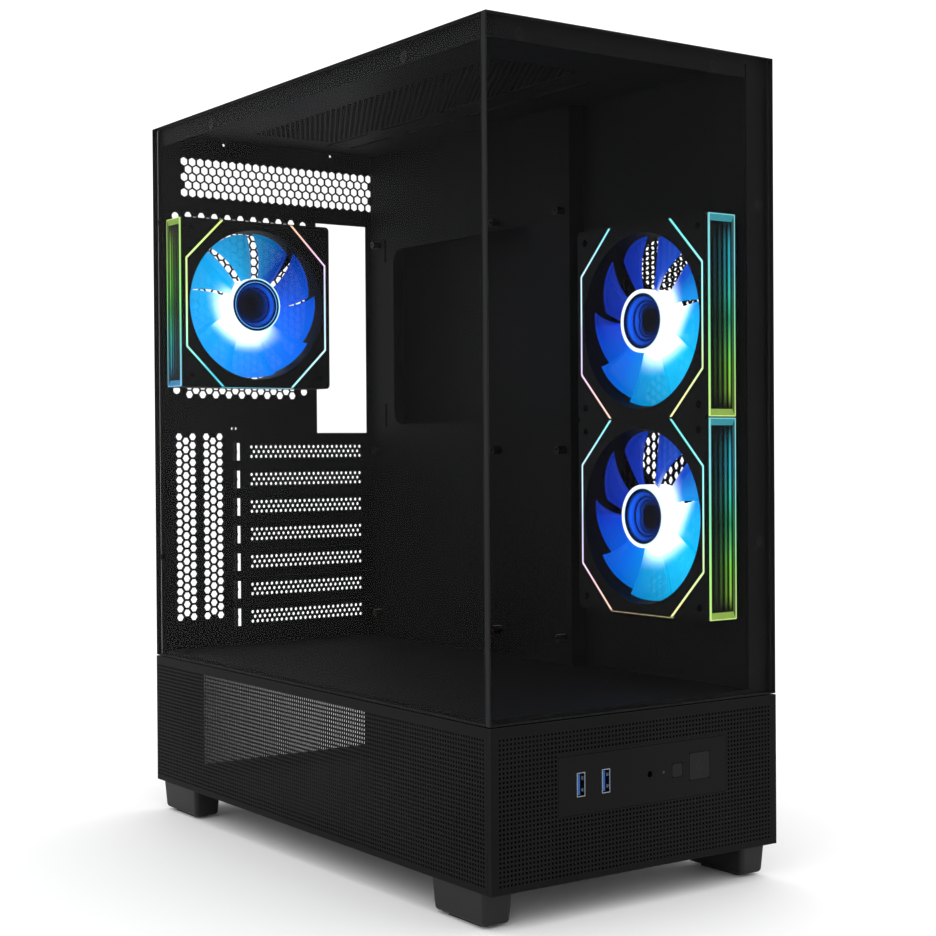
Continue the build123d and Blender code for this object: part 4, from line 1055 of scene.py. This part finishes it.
def hub_glow_and_painted_reflections(tree, place, fan):
    """The hub's lit rim and side wall, and painted reflections in its mirror: circles set back away from the
    lamp.
    """
    side, _, radius, _ = round_fan(tree, place, fan)
    rim = ramp(tree, sums(tree, "DIVIDE", radius, HUB_R + 0.01 * MM), RIM[kind_of(fan)])
    spacing, away = PAINTED_REFLECTION_SPACING[kind_of(fan)]
    cosine = sums(tree, "DIVIDE", side, sums(tree, "MAXIMUM", radius, NEAR_AXIS))
    step = sums(tree, "MULTIPLY_ADD", cosine, -away * MM, spacing * MM)
    depth = sums(tree, "DIVIDE", sums(tree, "SUBTRACT", MIRROR_R, radius), step)
    circles = [(0.0, DARK), (0.02, (0.0, 0.002, 0.03))]
    for turn, level in zip((0.09, 0.25, 0.41, 0.57), PAINTED_REFLECTION_LEVELS[kind_of(fan)]):
        gap = (0.0, 0.004, 0.09 * level)
        circles += [(turn, (0.002 * level, 0.11 * level, 0.85 * level)),
                    (turn + 0.085, (0.0, 0.06 * level, 0.62 * level)), (turn + 0.1, gap), (turn + 0.14, gap)]
    circles += [(0.75, (0.0, 0.0, 0.008)), (1.0, (0.0, 0.0, 0.004))]
    # The circles drawn here are painted reflections, brighter on the side where they spread widest.
    drawn = ramp(tree, sums(tree, "DIVIDE", depth, 6.0), circles)
    facing = sums(tree, "MULTIPLY", cosine, -math.copysign(1.0, away))
    return vectors(tree, "ADD", rim, scaled(tree, drawn, spread(tree, facing, (-1.0, 1.0), (0.08, 1.1))))


for fan in FANS:
    seat = seat_of(fan)
    rotor = shown(fan + "_hub", hub_mesh(fan))
    rotor.data.materials.append(lit(fan + " hub light", hub_glow_and_painted_reflections, fan, 1.3, uneven=0.03,
                                    body=(0.002, 0.002, 0.003), specular=0.03))
    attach(rotor, fan + "_spinner")
    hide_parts(fan + "_rotor")
    blades = shown(fan + "_blades", blade_mesh(1 if fan == "rear_fan" else -1))
    # The blades' finish glows with the hub's light painted on, and a painted white flare.
    translucent = lit(fan + " blade glow", painted_blade_glow, fan, 1.5, body=(0.001, 0.008, 0.03))
    translucent.node_tree.nodes["Principled BSDF"].inputs["Alpha"].default_value = 0.86
    modifier(blades, BLADES, {"Blades": BLADE_COUNT, "Seat": tuple(seat.translation),
                              "Seat Turn": tuple(seat.to_euler()), "Finish": translucent})
    baked(blades)
    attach(blades, fan + "_spinner")

# ---------------------------------------------------------------- floor, light and camera
# A pale floor under white, soft light from all round, with three large lamps. The camera stands a little
# above the middle of the case, nearly level, and looks at the corner between the glass side and front.
FLOOR_HALF = 6.0
floor_corners = [(a * FLOOR_HALF, b * FLOOR_HALF, 0) for a, b in ((-1, -1), (1, -1), (1, 1), (-1, 1))]
floor_mesh = bpy.data.meshes.new("floor")
floor_mesh.from_pydata(floor_corners, [], [(0, 1, 2, 3)])
floor = shown("floor", floor_mesh)
floor_paint, _, shader, _ = finish("pale floor", 0.7, 0.1)
shader.inputs["Base Color"].default_value = (0.93, 0.93, 0.93, 1)
floor_mesh.materials.append(floor_paint)

world = bpy.data.worlds.new("white surround")
world.use_nodes = True
background = world.node_tree.nodes["Background"]
background.inputs["Color"].default_value = (1, 1, 1, 1)
background.inputs["Strength"].default_value = 1.2
bpy.context.scene.world = world


CASE_MIDDLE = Vector((0, 0, 0.25))


def lamp(name, spot, size, power):
    """A large square lamp that faces the middle of the case; its size is in metres and its power in watts."""
    data = bpy.data.lights.new(name, "AREA")
    data.size = size
    data.energy = power
    made = bpy.data.objects.new(name, data)
    made.location = spot
    made.rotation_euler = (CASE_MIDDLE - Vector(spot)).to_track_quat("-Z", "Y").to_euler()
    bpy.context.scene.collection.objects.link(made)


lamp("key lamp", spot=(-2.2, -1.6, 1.8), size=1.6, power=8)
lamp("top lamp", spot=(0.2, 0.3, 2.6), size=1.8, power=10)
lamp("far lamp", spot=(2.4, -1.2, 1.4), size=1.6, power=5)

CAMERA_AT = (-0.63464, -0.93982, 0.25783)
CAMERA_YAW, CAMERA_PITCH, CAMERA_ROLL = math.radians(-35.11), math.radians(-0.708), math.radians(-0.38)
camera = bpy.data.objects.new("camera", bpy.data.cameras.new("camera"))
camera.data.lens = 66.4
camera.data.sensor_width = 36.0
turn = (Matrix.Rotation(CAMERA_YAW, 4, "Z") @ Matrix.Rotation(math.radians(90) + CAMERA_PITCH, 4, "X")
        @ Matrix.Rotation(CAMERA_ROLL, 4, "Z"))
camera.matrix_world = Matrix.Translation(CAMERA_AT) @ turn
bpy.context.scene.collection.objects.link(camera)
bpy.context.scene.camera = camera
bpy.context.scene.view_settings.view_transform = "Standard"
